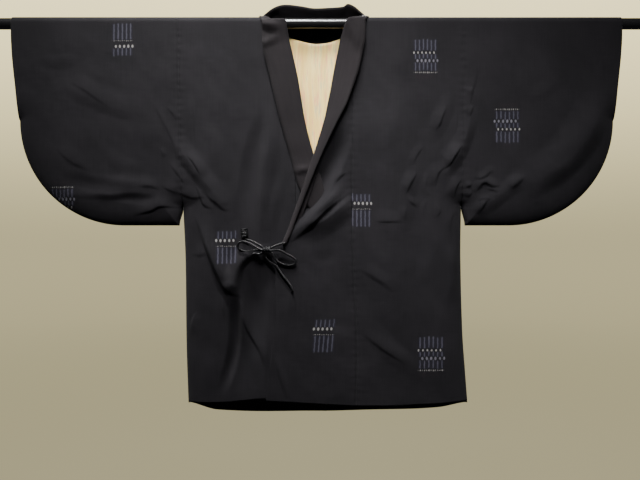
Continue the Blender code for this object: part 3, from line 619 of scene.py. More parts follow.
def patchMasks(board):
    wear, blush = patchWear, patchBlush
    column, rise, flag = board.split(board.node("ShaderNodeAttribute", {"attribute_name": "patch"}, {},
                                                "Vector"))

    def stretched(across, along, scale, detail=2.0):
        return board.noise(board.join(column * across, rise * along), scale, detail)

    wander = stretched(*wear["wander"]) - 0.5
    chance = board.node("ShaderNodeTexWhiteNoise", {"noise_dimensions": "2D"},
                        {"Vector": board.join(board.maths("FLOOR", column + 0.5), flag)})
    masks = {}

    def gather(name, mask):
        masks[name] = board.maths("MAXIMUM", masks[name], mask) if name in masks else mask

    def within(value, low, high, soft):
        return board.rise(value, low - soft, low + soft) * (1 - board.rise(value, high - soft, high + soft))

    def spot(shift, height, wide, tall, size):
        across = (board.fraction(column - shift + 0.5) - 0.5) * (wear["pitch"] / wide)
        up = (rise + wander * wear["spotWander"] - height) / tall
        return 1 - board.rise((across * across + up * up) / size, *wear["spotEdge"])

    phase = column + wander * wear["lineWander"] + 0.5
    stripe = 1 - board.rise(board.maths("ABSOLUTE", board.fraction(phase) - 0.5), *wear["lineEdge"])
    ragged = rise + (chance - 0.5) * wear["ragged"]
    for chart in patchKinds.values():
        here = within(flag, chart["flag"], chart["flag"], wear["flagEdge"])
        count = chart["columns"]
        row = here * within(column, wear["rowFrom"], count - wear["rowPast"], wear["rowEdge"])
        for low, high in chart["lines"]:
            gather("line", row * stripe * within(ragged, low, high, wear["lineEnd"]))
            gather("ground", row * within(rise, low, high, wear["groundEnd"]))
        height, tall = chart["specks"]
        for shift, wide, least, more, strength in speckSets:
            gather("dot", row * spot(shift, height, wide, tall, least + chance * more) * strength)
        for height, wide, tall, shift, ink in chart["dots"]:
            gather(ink, here * within(column, shift - 0.5, count - 0.5 + shift, wear["dotEdge"])
                   * spot(shift, height, wide, tall, wear["dotSize"][0] + chance * wear["dotSize"][1]))
    six = within(flag, patchKinds["six"]["flag"], patchKinds["six"]["flag"], wear["flagEdge"])
    grain = stretched(*blush["noise"], 3.0)
    gather("blush", six * within(column, *blush["across"]) * within(rise, *blush["along"])
           * board.rise(grain, *blush["grain"]))
    return masks


def clothBoard(name, patched, tint=(1.0, 1.0, 1.0)):
    look = clothLook
    board = Board(name, Roughness=look["roughness"], Specular_IOR_Level=look["shine"],
                  Sheen_Weight=look["sheen"], Sheen_Roughness=look["sheenRoughness"])
    plan = board.coordinates("UV")
    slub = board.noise(plan, 1.0, 3.0, 0.6, look["slub"])
    cross = board.noise(plan, 1.0, 2.0, 0.55, look["cross"])
    cloud = board.noise(plan, 1.0, 3.0, 0.5, look["cloud"])
    slubShare, crossShare, cloudShare = look["toneShares"]
    tone = board.rise(slub * slubShare + cross * crossShare + cloud * cloudShare, *look["tone"])
    colour = board.blend(tone, *(tuple(np.multiply(look[key], tint).tolist()) for key in ("dark", "light")))
    if patched:
        masks = patchMasks(board)
        for part, (ink, share) in patchInks.items():
            colour = board.blend(masks[part] * share, colour, ink)
    board.feed("Base Color", colour)
    turn = 2 * math.pi / look["thread"]
    warp, weft = [board.maths("SINE", way * turn) for way in board.split(plan)[:2]]
    weave = board.bump(warp * weft * 0.5 + 0.5, *look["weaveBump"])
    slubs = slub * look["slubHeight"] + cross * look["slubHeight"]
    board.feed("Normal", board.bump(slubs, *look["slubBump"], weave))
    return board.material


coatCloth = clothBoard("coatCloth", True)
print("cloth material made")


def linkPiece(name, mesh, material, slot, *replaced):
    mesh.materials.append(material)
    mesh.shade_smooth()
    piece = bpy.data.objects.new(name, mesh)
    bpy.context.scene.collection.objects.link(piece)
    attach(piece, "root")
    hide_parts(*replaced)
    return piece


def gridMesh(name, columns, rows, place):
    # a grid put in place by place(u, v), which gives the points, their plan and the face of the coat
    bm = bmesh.new()
    bmesh.ops.create_grid(bm, x_segments=columns, y_segments=rows, size=0.5)
    bm.loops.layers.uv.new("plan")
    mesh = bpy.data.meshes.new(name)
    bm.to_mesh(mesh)
    bm.free()
    flat = np.empty(len(mesh.vertices) * 3)
    mesh.vertices.foreach_get("co", flat)
    u, v = np.clip(flat.reshape(-1, 3)[:, :2].T + 0.5, 0, 1)
    points, plan, face = place(u, v)
    mesh.vertices.foreach_set("co", (points * mm).ravel())
    corners = np.empty(len(mesh.loops), int)
    mesh.loops.foreach_get("vertex_index", corners)
    mesh.uv_layers["plan"].data.foreach_set("uv", (plan[corners] * mm).ravel())
    if face is not None:
        field = mesh.attributes.new("patch", "FLOAT_VECTOR", "POINT")
        field.data.foreach_set("vector", patchField(plan[:, 0], plan[:, 1], face).ravel())
    mesh.update()
    return mesh


def makeSheet(name, columns, rows, place, replaced, wall=shellWall, material=coatCloth,
              slot="outer_cloth", rimOnly=True):
    mesh = gridMesh(name, columns, rows, place)
    if sum(part.normal[1] * part.center[1] for part in mesh.polygons) < 0:
        mesh.flip_normals()
    piece = linkPiece(name, mesh, material, slot, *replaced)
    solidify = piece.modifiers.new("wall", "SOLIDIFY")
    solidify.thickness = wall * mm
    solidify.offset = 0.0
    solidify.use_rim_only = rimOnly


# Cloth turning under at a sewn edge, drawn into small puckers
seamShape = {"pucker": 0.3, "spacing": 16, "wander": 29, "reach": 7, "turn": 3, "long": 0.8, "side": 0.3,
             "gap": 0.02, "fade": 20}


def seamRoll(z, off, drop):
    seam = seamShape
    pucker = seam["pucker"] * np.sin(z * 2 * math.pi / seam["spacing"] + np.sin(z / seam["wander"]))
    return pucker * np.exp(-off / seam["reach"]) - drop * np.exp(-(off / seam["turn"]) ** 2)


def innerEdge(z, hand):
    # inner edge of a front: the neck, then the collar's fold with what is tucked under it, then the edge
    half = halves[hand]
    down = np.where(z > half["fold"][-1][0], along(half["fold"], z) + hand * collarTuck,
                    along(half["frontEdge"], z))
    return np.where(z > half["neckEdge"][-1][0], along(half["neckEdge"], z), down)


def hemmed(row, x, hem, bottom):
    return np.where(row > 0, row, row * along(hem, x) / bottom)


creasesOf = {front: (frontFolds + frontCreases, frontLines), back: (backFolds + backCreases, backLines)}

# Fronts and backs, each side one length of cloth from the front hem over the rod to the back hem
bodyCut = {"columns": 126, "frontRows": 350, "backRows": 240, "overRows": 12, "gather": 0.6,
           "frontBottom": -812, "backBottom": -835, "neckEnd": -46.6, "okumiTop": -150}


def bodyHalf(hand):
    half, cut = halves[hand], bodyCut
    armpit = half["armpit"]
    total = cut["frontRows"] + cut["backRows"] + 2 * cut["overRows"]
    heights = np.concatenate([np.linspace(cut["frontBottom"], 0, cut["frontRows"] + 1),
                              np.linspace(0, rodTop, cut["overRows"] + 1)[1:],
                              np.linspace(rodTop, 0, cut["overRows"] + 1)[1:],
                              np.linspace(0, cut["backBottom"], cut["backRows"] + 1)[1:]])

    def outer(z):
        return along(half["side"], z) - hand * np.where(z > armpit[1], pinch(z, armpit), 0.0)

    def frontInner(z):
        seam = along(half["okumiSeam"], z) + hand * seamShape["gap"]
        return hand * np.maximum(hand * innerEdge(z, hand), hand * seam)

    def backInner(z):
        return np.where(z > cut["neckEnd"], hand * along(backNeckEdge, z),
                        along(centreBack, z) + hand * seamShape["gap"])

    halfCuts = {front: (half["hem"], cut["frontBottom"], frontInner, half["lift"], cut["okumiTop"]),
                back: (backHem, cut["backBottom"], backInner, noLift, cut["neckEnd"])}

    def laid(face, row, u):
        hem, bottom, inner, lift, joinedBelow = halfCuts[face]
        ends = [edge(hemmed(row, edge(row), hem, bottom)) for edge in (inner, outer)]
        x = mix(ends[0], ends[1], mix(u, np.sin(u * math.pi / 2), cut["gather"]))
        z = hemmed(row, x, hem, bottom)
        rolled = (np.where(z < joinedBelow, seamRoll(z, np.abs(x - ends[0]), seamShape["long"]), 0.0)
                  + np.where(z > armpit[1], seamRoll(z, np.abs(x - ends[1]), seamShape["side"]), 0.0))
        lifted = lift(x, z) + rolled * softStep(-z / seamShape["fade"])
        return hang(face, x, z, creases=creasesOf[face], lift=lifted), np.stack([x, z], axis=1)

    def place(u, v):
        rowNumber = np.rint(v * total).astype(int)
        isFront = rowNumber <= cut["frontRows"] + cut["overRows"]
        points, plan = np.empty((len(u), 3)), np.empty((len(u), 2))
        for face, here in ((front, isFront), (back, ~isFront)):
            points[here], plan[here] = laid(face, heights[rowNumber[here]], u[here])
        return points, plan, np.where(isFront, front, back)

    name = half["name"]
    makeSheet(f"body_{name}_cloth", cut["columns"], total, place, (f"front_{name}", f"back_{name}"))


bodyHalf(right)
bodyHalf(left)
print("body cloth hung")

# Overlap panels along the front edges
okumiCuts = {
    left: {"columns": 76, "rows": 330, "top": -44, "creases": ((tieFold,) + okumiCreases, okumiLines)},
    right: {"columns": 40, "rows": 150, "top": -150, "creases": ((), ())},
}
okumiGather = 0.3


def okumi(hand):
    half, cut = halves[hand], okumiCuts[hand]
    bottom = bodyCut["frontBottom"]

    def seam(z):
        return along(half["okumiSeam"], z) - hand * seamShape["gap"]

    def edge(z):
        return innerEdge(z, hand)

    def place(u, v):
        row = mix(cut["top"], bottom, v)
        ends = [side(hemmed(row, side(row), half["hem"], bottom)) for side in (seam, edge)]
        x = mix(ends[0], ends[1], mix(u, np.sin(u * math.pi / 2), okumiGather))
        z = hemmed(row, x, half["hem"], bottom)
        raised = half["lift"](x, z) + seamRoll(z, np.abs(x - ends[0]), seamShape["long"])
        points = hang(front, x, z, creases=cut["creases"], lift=raised)
        return points, np.stack([x, z], axis=1), np.full(len(u), front)

    name = "okumi_" + half["name"]
    makeSheet(name + "_cloth", cut["columns"], cut["rows"], place, (name,))


okumi(left)
okumi(right)
print("overlap panels hung")

# Sleeves, each one length of cloth folded over the rod, with a large round corner below the cuff
sleeveCut = {"columns": 136, "upperRows": 86, "lowerRows": 92, "overRows": 12, "gather": 0.45,
             "cornerGather": 0.6}


def sleeve(hand):
    half, shape, cut = halves[hand], sleeveShape, sleeveCut
    radius, corner = shape["cornerRadius"], shape["cornerZ"]
    bottom = corner - radius
    rows = cut["lowerRows"] + cut["upperRows"] + cut["overRows"]
    upper = np.concatenate([np.linspace(corner, 0, cut["upperRows"] + 1),
                            np.linspace(0, rodTop, cut["overRows"] + 1)[1:]])

    def cuff(z):
        straightened = ramp(z, corner, shape["cuffStraight"])
        return hand * mix(shape["cornerX"] + radius, shape["cuffTop"], straightened)

    def arc(angle):
        x = hand * (shape["cornerX"] + radius * np.cos(angle))
        return np.stack([x, corner - radius * np.sin(angle)], axis=-1)

    start, end = [np.array([sleeveInner(np.array([z]), hand)[0], z]) for z in (corner, bottom)]
    straight = abs(hand * shape["cornerX"] - end[0])
    bottomLength = straight + radius * math.pi / 4

    def patch(u, v):
        # the corner between the inner edge, the level bottom and the arc
        top = start + (arc(np.zeros(1)) - start) * u[:, None]
        z = mix(corner, bottom, v)
        inner = np.stack([sleeveInner(z, hand), z], axis=1)
        across = inner + (arc(v * math.pi / 4) - inner) * u[:, None]
        length = u * bottomLength
        level = np.stack([end[0] + hand * length, np.full(len(u), bottom)], axis=1)
        bent = arc(math.pi / 2 - (length - straight) / radius)
        low = np.where((length < straight)[:, None], level, bent)
        down = top + (low - top) * v[:, None]
        cornerLow = end + (arc(np.full(1, math.pi / 4)) - end) * u[:, None]
        return across + down - (top + (cornerLow - top) * v[:, None])

    def place(u, v):
        number = np.rint(v * 2 * rows).astype(int)
        isFront = number <= rows
        number = np.where(isFront, number, 2 * rows - number)
        gathered = mix(u, (1 - np.cos(u * math.pi)) / 2, cut["gather"])
        x, z = np.empty(len(u)), np.empty(len(u))
        high = number >= cut["lowerRows"]
        z[high] = upper[number[high] - cut["lowerRows"]]
        x[high] = mix(sleeveInner(np.minimum(z[high], rodTop), hand), cuff(z[high]), gathered[high])
        low = 1 - number[~high] / cut["lowerRows"]
        low = mix(low, np.sin(low * math.pi / 2), cut["cornerGather"])
        x[~high], z[~high] = patch(gathered[~high], low).T
        rolled = np.where(z > half["armpit"][1],
                          seamRoll(z, np.abs(x - sleeveInner(z, hand)), seamShape["side"]), 0.0)
        rolled *= softStep(-z / seamShape["fade"])
        points = np.empty((len(u), 3))
        for face, here in ((front, isFront), (back, ~isFront)):
            points[here] = hang(face, x[here], z[here], sleeveDistance, creasesOf[face], rolled[here])
        return points, np.stack([x, z], axis=1), np.where(isFront, front, back)

    name = "sleeve_" + half["name"]
    makeSheet(name + "_cloth", cut["columns"], 2 * rows, place, (name + "_front", name + "_back"))


sleeve(right)
sleeve(left)
print("sleeves hung")

# Collar: one long band folded outwards along its length, places in x, y, z
collarShape = {"wall": 2.0, "clear": 0.6, "underLayer": 20.0, "bend": 3.0, "halfLoop": 2.2,
               "underCrown": 0.2, "fallCrown": 0.9, "step": 5.0, "shoulder": -70, "above": (-64.0, -38.0),
               "neckSteps": 6, "acrossSteps": 4, "planWidth": 80.0, "clearOfRod": 2.0}
neckRows = (
    # fold, outer edge, seam, and the middle of the inner layer where it doesn't lie half-way
    ((-66, -20.5, 0), (-116, -19, 0), (-100.5, -13.8, -2)),
    ((-76, -20, 3), (-117, -18.5, 2), (-101, -13, 5)),
    ((-94, -19, 3), (-119, -16.5, 6), (-101.5, -10, 9.7)),
    ((-108, -13.5, 10), (-121, -8, 14), (-102, -4, 13.3)),
    ((-112, -5, 16), (-124, 6, 15), (-101.5, 4, 13.3)),
    ((-107, 0, 22.5), (-124, 21, 2), (-98.5, 12, 7.1)),
    ((-94, 0, 31.5), (-112, 30, -22), (-89, 14.8, -12), (-92, 15.8, 10)),
    ((-78, -1, 37.3), (-90, 34, -35), (-75, 15, -18), (-77, 16, 7)),
    ((-61, -1, 38.6), (-66, 36, -42), (-59, 15, -24), (-60, 16.2, 3)),
    ((-31, -1, 35), (-34, 37, -47), (-31, 15.5, -32.5), (-31, 16.4, -2)),
    ((-6, -1, 31), (-4, 37, -49), (-2, 15.6, -38.5), (-4, 16.4, -4)),
    ((26, -1, 32), (30, 36.5, -46), (28, 15.3, -34.5), (27, 16.4, -2)),
    ((56, -1, 34.5), (60, 35.5, -41), (54, 15, -25), (55, 16.2, 2)),
    ((67, -1, 40.5), (74, 34.5, -36), (66, 15, -20), (67, 16, 5)),
    ((81, -1, 35), (93, 31.5, -29), (79, 14.8, -15), (80, 15.8, 6)),
    ((92, 0, 26.5), (108, 25, -12), (91, 14.4, -6), (92, 15.6, 9)),
    ((99, -2, 20), (113, 13, 10), (99, 10.5, 9.1)),
    ((97, -9, 14), (112, -2, 15), (101.5, 0, 13.9)),
    ((88, -16.5, 10), (109, -12, 11.5), (101.5, -8, 11.4)),
    ((74, -19, 8), (106, -17, 6.5), (101, -12.2, 6.6)),
    ((64, -20.5, 0), (104, -19, 0), (99, -13.8, -2)),
)

# Outer edge of the collar's fall and how far it stands off the cloth, and the creases of both layers
rightFall = ((-38, -115), (-60, -113), (-123, -97.5), (-208, -77.5), (-285, -56), (-357, -35), (-431, 3),
             (-490, 38))
leftFall = ((-38, 102.6), (-66, 97.5), (-104, 89), (-145, 75.4), (-179, 62.7), (-208, 47.8), (-266, 19.5),
            (-308, 1), (-366, -22), (-421, -43), (-451, -54), (-472, -64))
collarCreases = (
    (((-118, -6), (-98, -8), (-74, -2)), 8, 2.0, 0.2, 0.0),
)
collarLines = (
    (((-182, -6), (-124, -10), (-98, -15), (-62, -24)), 6, 14, 6, 1),
    (((-182, -76), (-124, -47), (-98, -34), (-66, -14)), 3, 18, 5, -1),
    (((-108, -40), (-102, -64), (-99, -92)), 2, 11, 2, -1),
    (((58, 10), (68, -12), (80, -44), (92, -74)), 2.6, 13, 4, 1),
    (((84, 16), (93, -8), (96, -30), (94, -60)), 3, 10, 4, -1),
    (((-48, -326), (-30, -320), (-8, -316)), 2.6, 14, 3.6, 1),
    (((70, -130), (62, -180), (44, -230)), 3, 16, 1.2, 1),
    (((-92, -140), (-84, -200), (-70, -262)), 3, 16, 1.2, -1),
)
standLines = (
    (((-24, 34), (4, 22), (24, 10)), 2.2, 9, 3, -1),
    (((64, 34), (44, 24), (20, 14)), 2.2, 9, 3, 1),
    (((-88, 26), (-70, 20), (-50, 22)), 2.2, 8, 2, 1),
)
rightStandOff = ((-38, 5), (-150, 6), (-240, 2), (-280, 0.2))
leftStandOff = ((-38, 5), (-145, 9), (-266, 5), (-366, 1))
collarEdges = {right: (rightFall, rightStandOff), left: (leftFall, leftStandOff)}
collarTint = (1.2, 1.08, 1.0)


def unit(vector):
    return vector / np.linalg.norm(vector, axis=-1, keepdims=True)


def collarSection(fold, edge, seam, middle=None):
    shape = collarShape
    inward = unit(unit(seam - fold) + unit(edge - fold))
    outward = edge - seam
    outward = unit(outward - inward * np.sum(outward * inward, axis=-1, keepdims=True))
    under = fold + inward * shape["bend"] - outward * shape["halfLoop"]
    over = fold + inward * shape["bend"] + outward * shape["halfLoop"]
    inner = (seam + under) / 2 - outward * shape["underCrown"]
    for row, given in (middle or {}).items():
        inner[row] = given
    fall = (over + edge) / 2 + outward * shape["fallCrown"]
    return np.stack([seam, inner, under, fold, over, fall, edge], axis=-2)


def frontSections(z, hand):
    half, shape = halves[hand], collarShape
    fold, fall, standOff = [along(table, z) for table in (half["fold"], *collarEdges[hand])]
    spacing = (clothWall + shape["wall"]) / 2 + shape["clear"]

    def onFront(x, out):
        return hang(front, x, z, lift=out + half["lift"](x, z))

    return collarSection(onFront(fold, 0.0), onFront(fall, spacing + standOff),
                         onFront(fold + hand * shape["underLayer"], -spacing))


def makeCollar(material):
    shape = collarShape
    step, shoulder, near = shape["step"], shape["shoulder"], np.array(shape["above"])
    rightEnd, leftEnd = rightFold[-1][0], leftFold[-1][0]
    neck = collarSection(*(np.array([row[k] for row in neckRows], float) for k in range(3)),
                         {i: row[3] for i, row in enumerate(neckRows) if len(row) > 3})
    neck = np.concatenate([frontSections(near, right), neck, frontSections(near[::-1], left)])
    leftPlaces = np.append(np.arange(shoulder, leftEnd, -step), leftEnd)
    sections = np.concatenate([frontSections(np.arange(rightEnd, shoulder + 1, step), right),
                               refine(neck, shape["neckSteps"]), frontSections(leftPlaces, left)])
    sections = refine(sections, shape["acrossSteps"], axis=1)
    middle = sections.shape[1] // 2
    for part, way, creases, lines in ((slice(middle + 2, None), front, collarCreases, collarLines),
                                      (slice(1, middle - 1), back, (), standLines)):
        x, y, z = np.moveaxis(sections[:, part], -1, 0)
        relief = reliefOf(creases, lines, x.ravel(), z.ravel()).reshape(x.shape)
        y -= relief * (way * y > shape["clearOfRod"])
    count, across = sections.shape[0] - 1, sections.shape[1] - 1
    strides = np.linalg.norm(np.diff(sections[:, across // 2], axis=0), axis=1)
    lengths = np.concatenate([[0], np.cumsum(strides)])
    print("collar length", round(lengths[-1] * mm, 3), "m")

    def place(u, v):
        i, j = np.rint(u * count).astype(int), np.rint(v * across).astype(int)
        return sections[i, j], np.stack([v * shape["planWidth"], lengths[i]], axis=1), None

    makeSheet("collar_band", count, across, place, ("collar",),
              shape["wall"], material, "collar_cloth", False)


makeCollar(clothBoard("collarCloth", False, collarTint))
print("collar folded")

# Back lining, seen in the neck opening
liningCut = {"from": -200.0, "to": 228.0, "bottom": -715.0, "columns": 70, "rows": 120, "behind": 2.2,
             "shell": 0.6}
liningTop = ((-200, -12), (-98, -12), (-76, -18), (-59, -26), (-36, -33), (-3, -40), (30, -36), (54, -27),
             (76, -18), (98, -12), (228, -12))
liningLook = {"cream": (0.80, 0.54, 0.15), "roughness": 0.5, "shine": 0.4, "sheen": 0.1, "bend": 0.02,
              "streakBump": (0.0003, 0.3)}

# Pale, rose and sage streaks over the cream: colour, stretch and scale of their noise, where they begin
# and are full, and share
liningStreaks = (((0.90, 0.70, 0.26), (70, 7, 1), 1.0, (0.35, 0.65), 1.0),
                 ((0.80, 0.33, 0.19), (160, 16, 1), 1.0, (0.50, 0.68), 0.75),
                 ((0.36, 0.38, 0.28), (95, 11, 3), 1.3, (0.52, 0.70), 0.6))


def liningMaterial():
    look = liningLook
    board = Board("liningSilk", Roughness=look["roughness"], Specular_IOR_Level=look["shine"],
                  Sheen_Weight=look["sheen"])
    plan = board.coordinates("UV")
    bend = board.noise(plan, 1.0, stretch=(12, 5, 1)) * look["bend"]
    moved = board.node("ShaderNodeVectorMath", {"operation": "ADD"}, {0: plan, 1: board.join(bend, 0.0)})
    colour, streaks = look["cream"], []
    for ink, stretch, scale, edges, share in liningStreaks:
        streaks.append(board.noise(moved, scale, 3.0, 0.6, stretch))
        colour = board.blend(board.rise(streaks[-1], *edges) * share, colour, ink)
    board.feed("Base Color", colour)
    board.feed("Normal", board.bump(streaks[1], *look["streakBump"]))  # the rose streaks stand up
    return board.material


def makeLining():
    cut = liningCut

    def place(u, v):
        x = mix(cut["from"], cut["to"], u)
        z = mix(along(liningTop, x), cut["bottom"], v)
        points = hang(back, x, z, creases=creasesOf[back], lift=-cut["behind"])
        return points, np.stack([x, z], axis=1), None

    makeSheet("lining_back_silk", cut["columns"], cut["rows"], place, ("lining_back",),
              cut["shell"], liningMaterial(), "lining", False)


makeLining()
print("lining hung")

# Rod: glossy black tube with plain end caps
rodLook = {"from": -693.0, "to": 708.0, "plug": 7.0, "groove": 0.5, "neck": 11.3, "inset": 2.0, "edge": 0.8,
           "segments": 96, "dark": (0.006, 0.006, 0.0065), "light": (0.012, 0.012, 0.012),
           "roughness": 0.16, "wear": 0.12, "wearStretch": (6, 60, 60), "grain": 900.0,
           "grainBump": (0.00005, 0.25), "shine": 0.4, "coat": 0.2, "coatRoughness": 0.06}


def rodMaterial():
    look = rodLook
    board = Board("rodPaint", Metallic=0.0, Specular_IOR_Level=look["shine"], Coat_Weight=look["coat"],
                  Coat_Roughness=look["coatRoughness"])
    where = board.coordinates()
    wear = board.noise(where, 1.0, 4.0, 0.6, look["wearStretch"])
    board.feed("Base Color", board.blend(wear, look["dark"], look["light"]))
    board.feed("Roughness", look["roughness"] + wear * look["wear"])
    board.feed("Normal", board.bump(board.noise(where, look["grain"]), *look["grainBump"]))
    return board.material


def makeRod():
    look = rodLook
    start, end, plug, inset = [look[key] for key in ("from", "to", "plug", "inset")]
    tube = plug + look["groove"]
    bm = bmesh.new()
    for begin, stop, radius in ((start, start + plug, rodRadius), (start + tube, end - tube, rodRadius),
                                (end - plug, end, rodRadius), (start + inset, end - inset, look["neck"])):
        lying = Matrix.Translation(((begin + stop) / 2 * mm, 0, 0)) @ Matrix.Rotation(math.pi / 2, 4, "Y")
        bmesh.ops.create_cone(bm, cap_ends=True, segments=look["segments"], radius1=radius * mm,
                              radius2=radius * mm, depth=(stop - begin) * mm, matrix=lying)
    mesh = bpy.data.meshes.new("rod_painted")
    bm.to_mesh(mesh)
    bm.free()
    piece = linkPiece("rod_painted", mesh, rodMaterial(), "rod", "rod")
    bevel = piece.modifiers.new("edges", "BEVEL")
    bevel.width, bevel.segments, bevel.limit_method = look["edge"] * mm, 3, "ANGLE"
    bevel.harden_normals = True


makeRod()
print("rod made")

# Tie cord: places (x, z) and a distance in front of the outer face of the right front
cordLook = {"thick": 4.5, "dark": (0.0012, 0.0012, 0.0016), "light": (0.0050, 0.0050, 0.0060),
            "roughness": 0.45, "smoothing": 4, "sides": 14, "twist": 4.5, "strands": 3, "weld": 0.001,
            "tone": (-0.6, 0.8), "braidBump": (0.0003, 0.7), "shine": 0.3}
tieRoutes = {
    "tie_run_root": ((-149, -462.5, 5.5), (-142, -464, 7), (-133, -467, 9), (-124, -471.5, 10),
                     (-115.9, -475.9, 10), (-112.7, -479.8, 10)),
    "tie_run_edge": ((-66, -470, 14), (-74, -471.5, 15), (-82, -474, 14.8), (-91.8, -478.4, 13.4),
                     (-94.7, -480.9, 12.1)),
    "tie_loop_right": ((-112.2, -484, 15.1), (-114.7, -484, 18.2), (-122, -480.5, 19.6),
                       (-132, -474.5, 18.8), (-143, -469, 17), (-154, -466.5, 14), (-162, -469.5, 10.5),
                       (-165, -476.5, 7), (-161, -483.5, 4.3), (-151, -486.5, 3), (-138, -486, 2.8),
                       (-126, -484.5, 2.8), (-118, -483.4, 2.8), (-112.6, -483.4, 5.2)),
    "tie_loop_left": ((-96.2, -485.1, 15.3), (-94, -485.9, 18.5), (-86, -484.5, 19.6),
                      (-76, -485.5, 19), (-68, -489, 18), (-60, -494, 16.5), (-51, -498.5, 14),
                      (-43.8, -505.5, 11.8), (-45.5, -513, 10.4), (-54, -516.5, 9.9),
                      (-66, -515.5, 9.9), (-77, -511.5, 10), (-86, -503.5, 10), (-92.9, -491.5, 10),
                      (-95.4, -488.3, 10)),
    "tie_end_right": ((-112.6, -488.3, 10.5), (-115.6, -491.8, 10.6), (-122, -493, 8.5),
                      (-130, -492.5, 5.5), (-138, -495.5, 3.3), (-146, -497.5, 2.7)),
    "tie_end_left": ((-106.7, -490.5, 8.6), (-107.5, -495.4, 7.8), (-105, -502, 6.6), (-98, -509, 7.2),
                     (-91, -513.8, 9.6), (-84.5, -518, 10), (-78.5, -526, 9.9), (-70.5, -537.5, 9.9),
                     (-60.5, -550, 9.9), (-52.5, -562, 9.9), (-50, -570, 9.9)),
}

farEnds = {"tie_loop_right": "object", "tie_loop_left": "object", "tie_end_right": "bare",
           "tie_end_left": "bare"}

# Cord wound in flattened turns round an empty middle, its turns lying beside each other
woundPieces = {
    "tie_knot": {"place": (-104.0, -484.0, 10.0), "size": (19.0, 13.0, 13.0), "turns": 3, "upright": False},
    "tie_root": {"place": (-151.5, -449.0, 5.5), "size": (15.0, 9.0, 22.0), "turns": 5, "upright": True},
}
woundShape = {"steps": 26, "ends": 0.9, "thick": 0.56, "flatter": 0.7, "deeper": 0.8, "fuller": 0.25}


def cordMaterial():
    look = cordLook
    board = Board("tieCord", Roughness=look["roughness"], Specular_IOR_Level=look["shine"])
    lengthwise, around, _ = board.split(board.coordinates("UV"))
    turn = 2 * math.pi / (look["twist"] * mm)
    braid = (board.maths("SINE", (lengthwise * 2.0 + around) * turn)
             * board.maths("SINE", (lengthwise * 2.0 - around) * turn))
    board.feed("Base Color", board.blend(board.rise(braid, *look["tone"]), look["dark"], look["light"]))
    board.feed("Normal", board.bump(braid, *look["braidBump"]))
    return board.material


def beforeCloth(x, z, out):
    return hang(front, np.array([x]), np.array([z]), creases=(frontFolds, ()), lift=clothWall / 2 + out)[0]


def tubeMesh(name, points, radius):
    # a round tube swept along the points, with closed ends and a plan that runs along and round it
    look = cordLook
    sides, last = look["sides"], len(points) - 1
    tangents = unit(np.gradient(points, axis=0))
    normal = unit(np.cross(tangents[0], (0.3, 0.2, 1.0)))
    normals = []
    for tangent in tangents:
        normal = unit(normal - tangent * np.dot(normal, tangent))
        normals.append(normal)
    normals = np.array(normals)
    across = np.cross(tangents, normals)
    travelled = np.concatenate([[0], np.cumsum(np.linalg.norm(np.diff(points, axis=0), axis=1))])

    def place(u, v):
        i, k = np.rint(v * last).astype(int), np.rint(u * sides)
        angle = (k * 2 * math.pi / sides)[:, None]
        ring = points[i] + radius * (np.cos(angle) * normals[i] + np.sin(angle) * across[i])
        return ring, np.stack([travelled[i], k / sides * look["strands"] * look["twist"]], axis=1), None

    mesh = gridMesh(name, sides, last, place)
    bm = bmesh.new()
    bm.from_mesh(mesh)
    bmesh.ops.remove_doubles(bm, verts=bm.verts, dist=look["weld"] * mm)
    bmesh.ops.holes_fill(bm, edges=[edge for edge in bm.edges if edge.is_boundary])
    bmesh.ops.recalc_face_normals(bm, faces=bm.faces)
    bm.to_mesh(mesh)
    bm.free()
    return mesh


def woundPath(centre, size, turns, upright):
    shape = woundShape
    sweep = np.linspace(0, turns * 2 * math.pi, turns * shape["steps"] + 1)
    span = (size[2] if upright else size[0]) - cordLook["thick"] * shape["ends"]
    run = (sweep / sweep[-1] - 0.5) * span
    radius = span / turns * shape["thick"]
    if upright:
        a, b = size[0] / 2 - radius, size[1] / 2 - radius * shape["flatter"]
        offsets = (a * np.cos(sweep), b * np.sin(sweep), run)
    else:
        fuller = 1 - shape["fuller"] * (2 * run / span) ** 2
        a, b = [(wide / 2 - radius * shape["deeper"]) * fuller for wide in size[1:]]
        offsets = (run, a * np.cos(sweep), b * np.sin(sweep))
    return centre + np.stack(offsets, axis=1), radius


def makeTie():
    cord, radius = cordMaterial(), cordLook["thick"] / 2
    for name, route in tieRoutes.items():
        path = refine(np.array([beforeCloth(*row) for row in route]), cordLook["smoothing"])
        length = round(float(np.linalg.norm(np.diff(path, axis=0), axis=1).sum() * mm), 3)
        piece = linkPiece(name + "_cord", tubeMesh(name + "_cord", path, radius), cord, "tie_cord", name)
        if name in farEnds:
            tuple(path[0] * mm)
            [tuple(p * mm) for p in path]
            print(name, length, "m")
    for name, shape in woundPieces.items():
        centre = beforeCloth(*shape["place"])
        path, radius = woundPath(centre, shape["size"], shape["turns"], shape["upright"])
        linkPiece(name + "_wound", tubeMesh(name + "_wound", path, radius), cord, "tie_cord", name)


makeTie()
print("tie made")
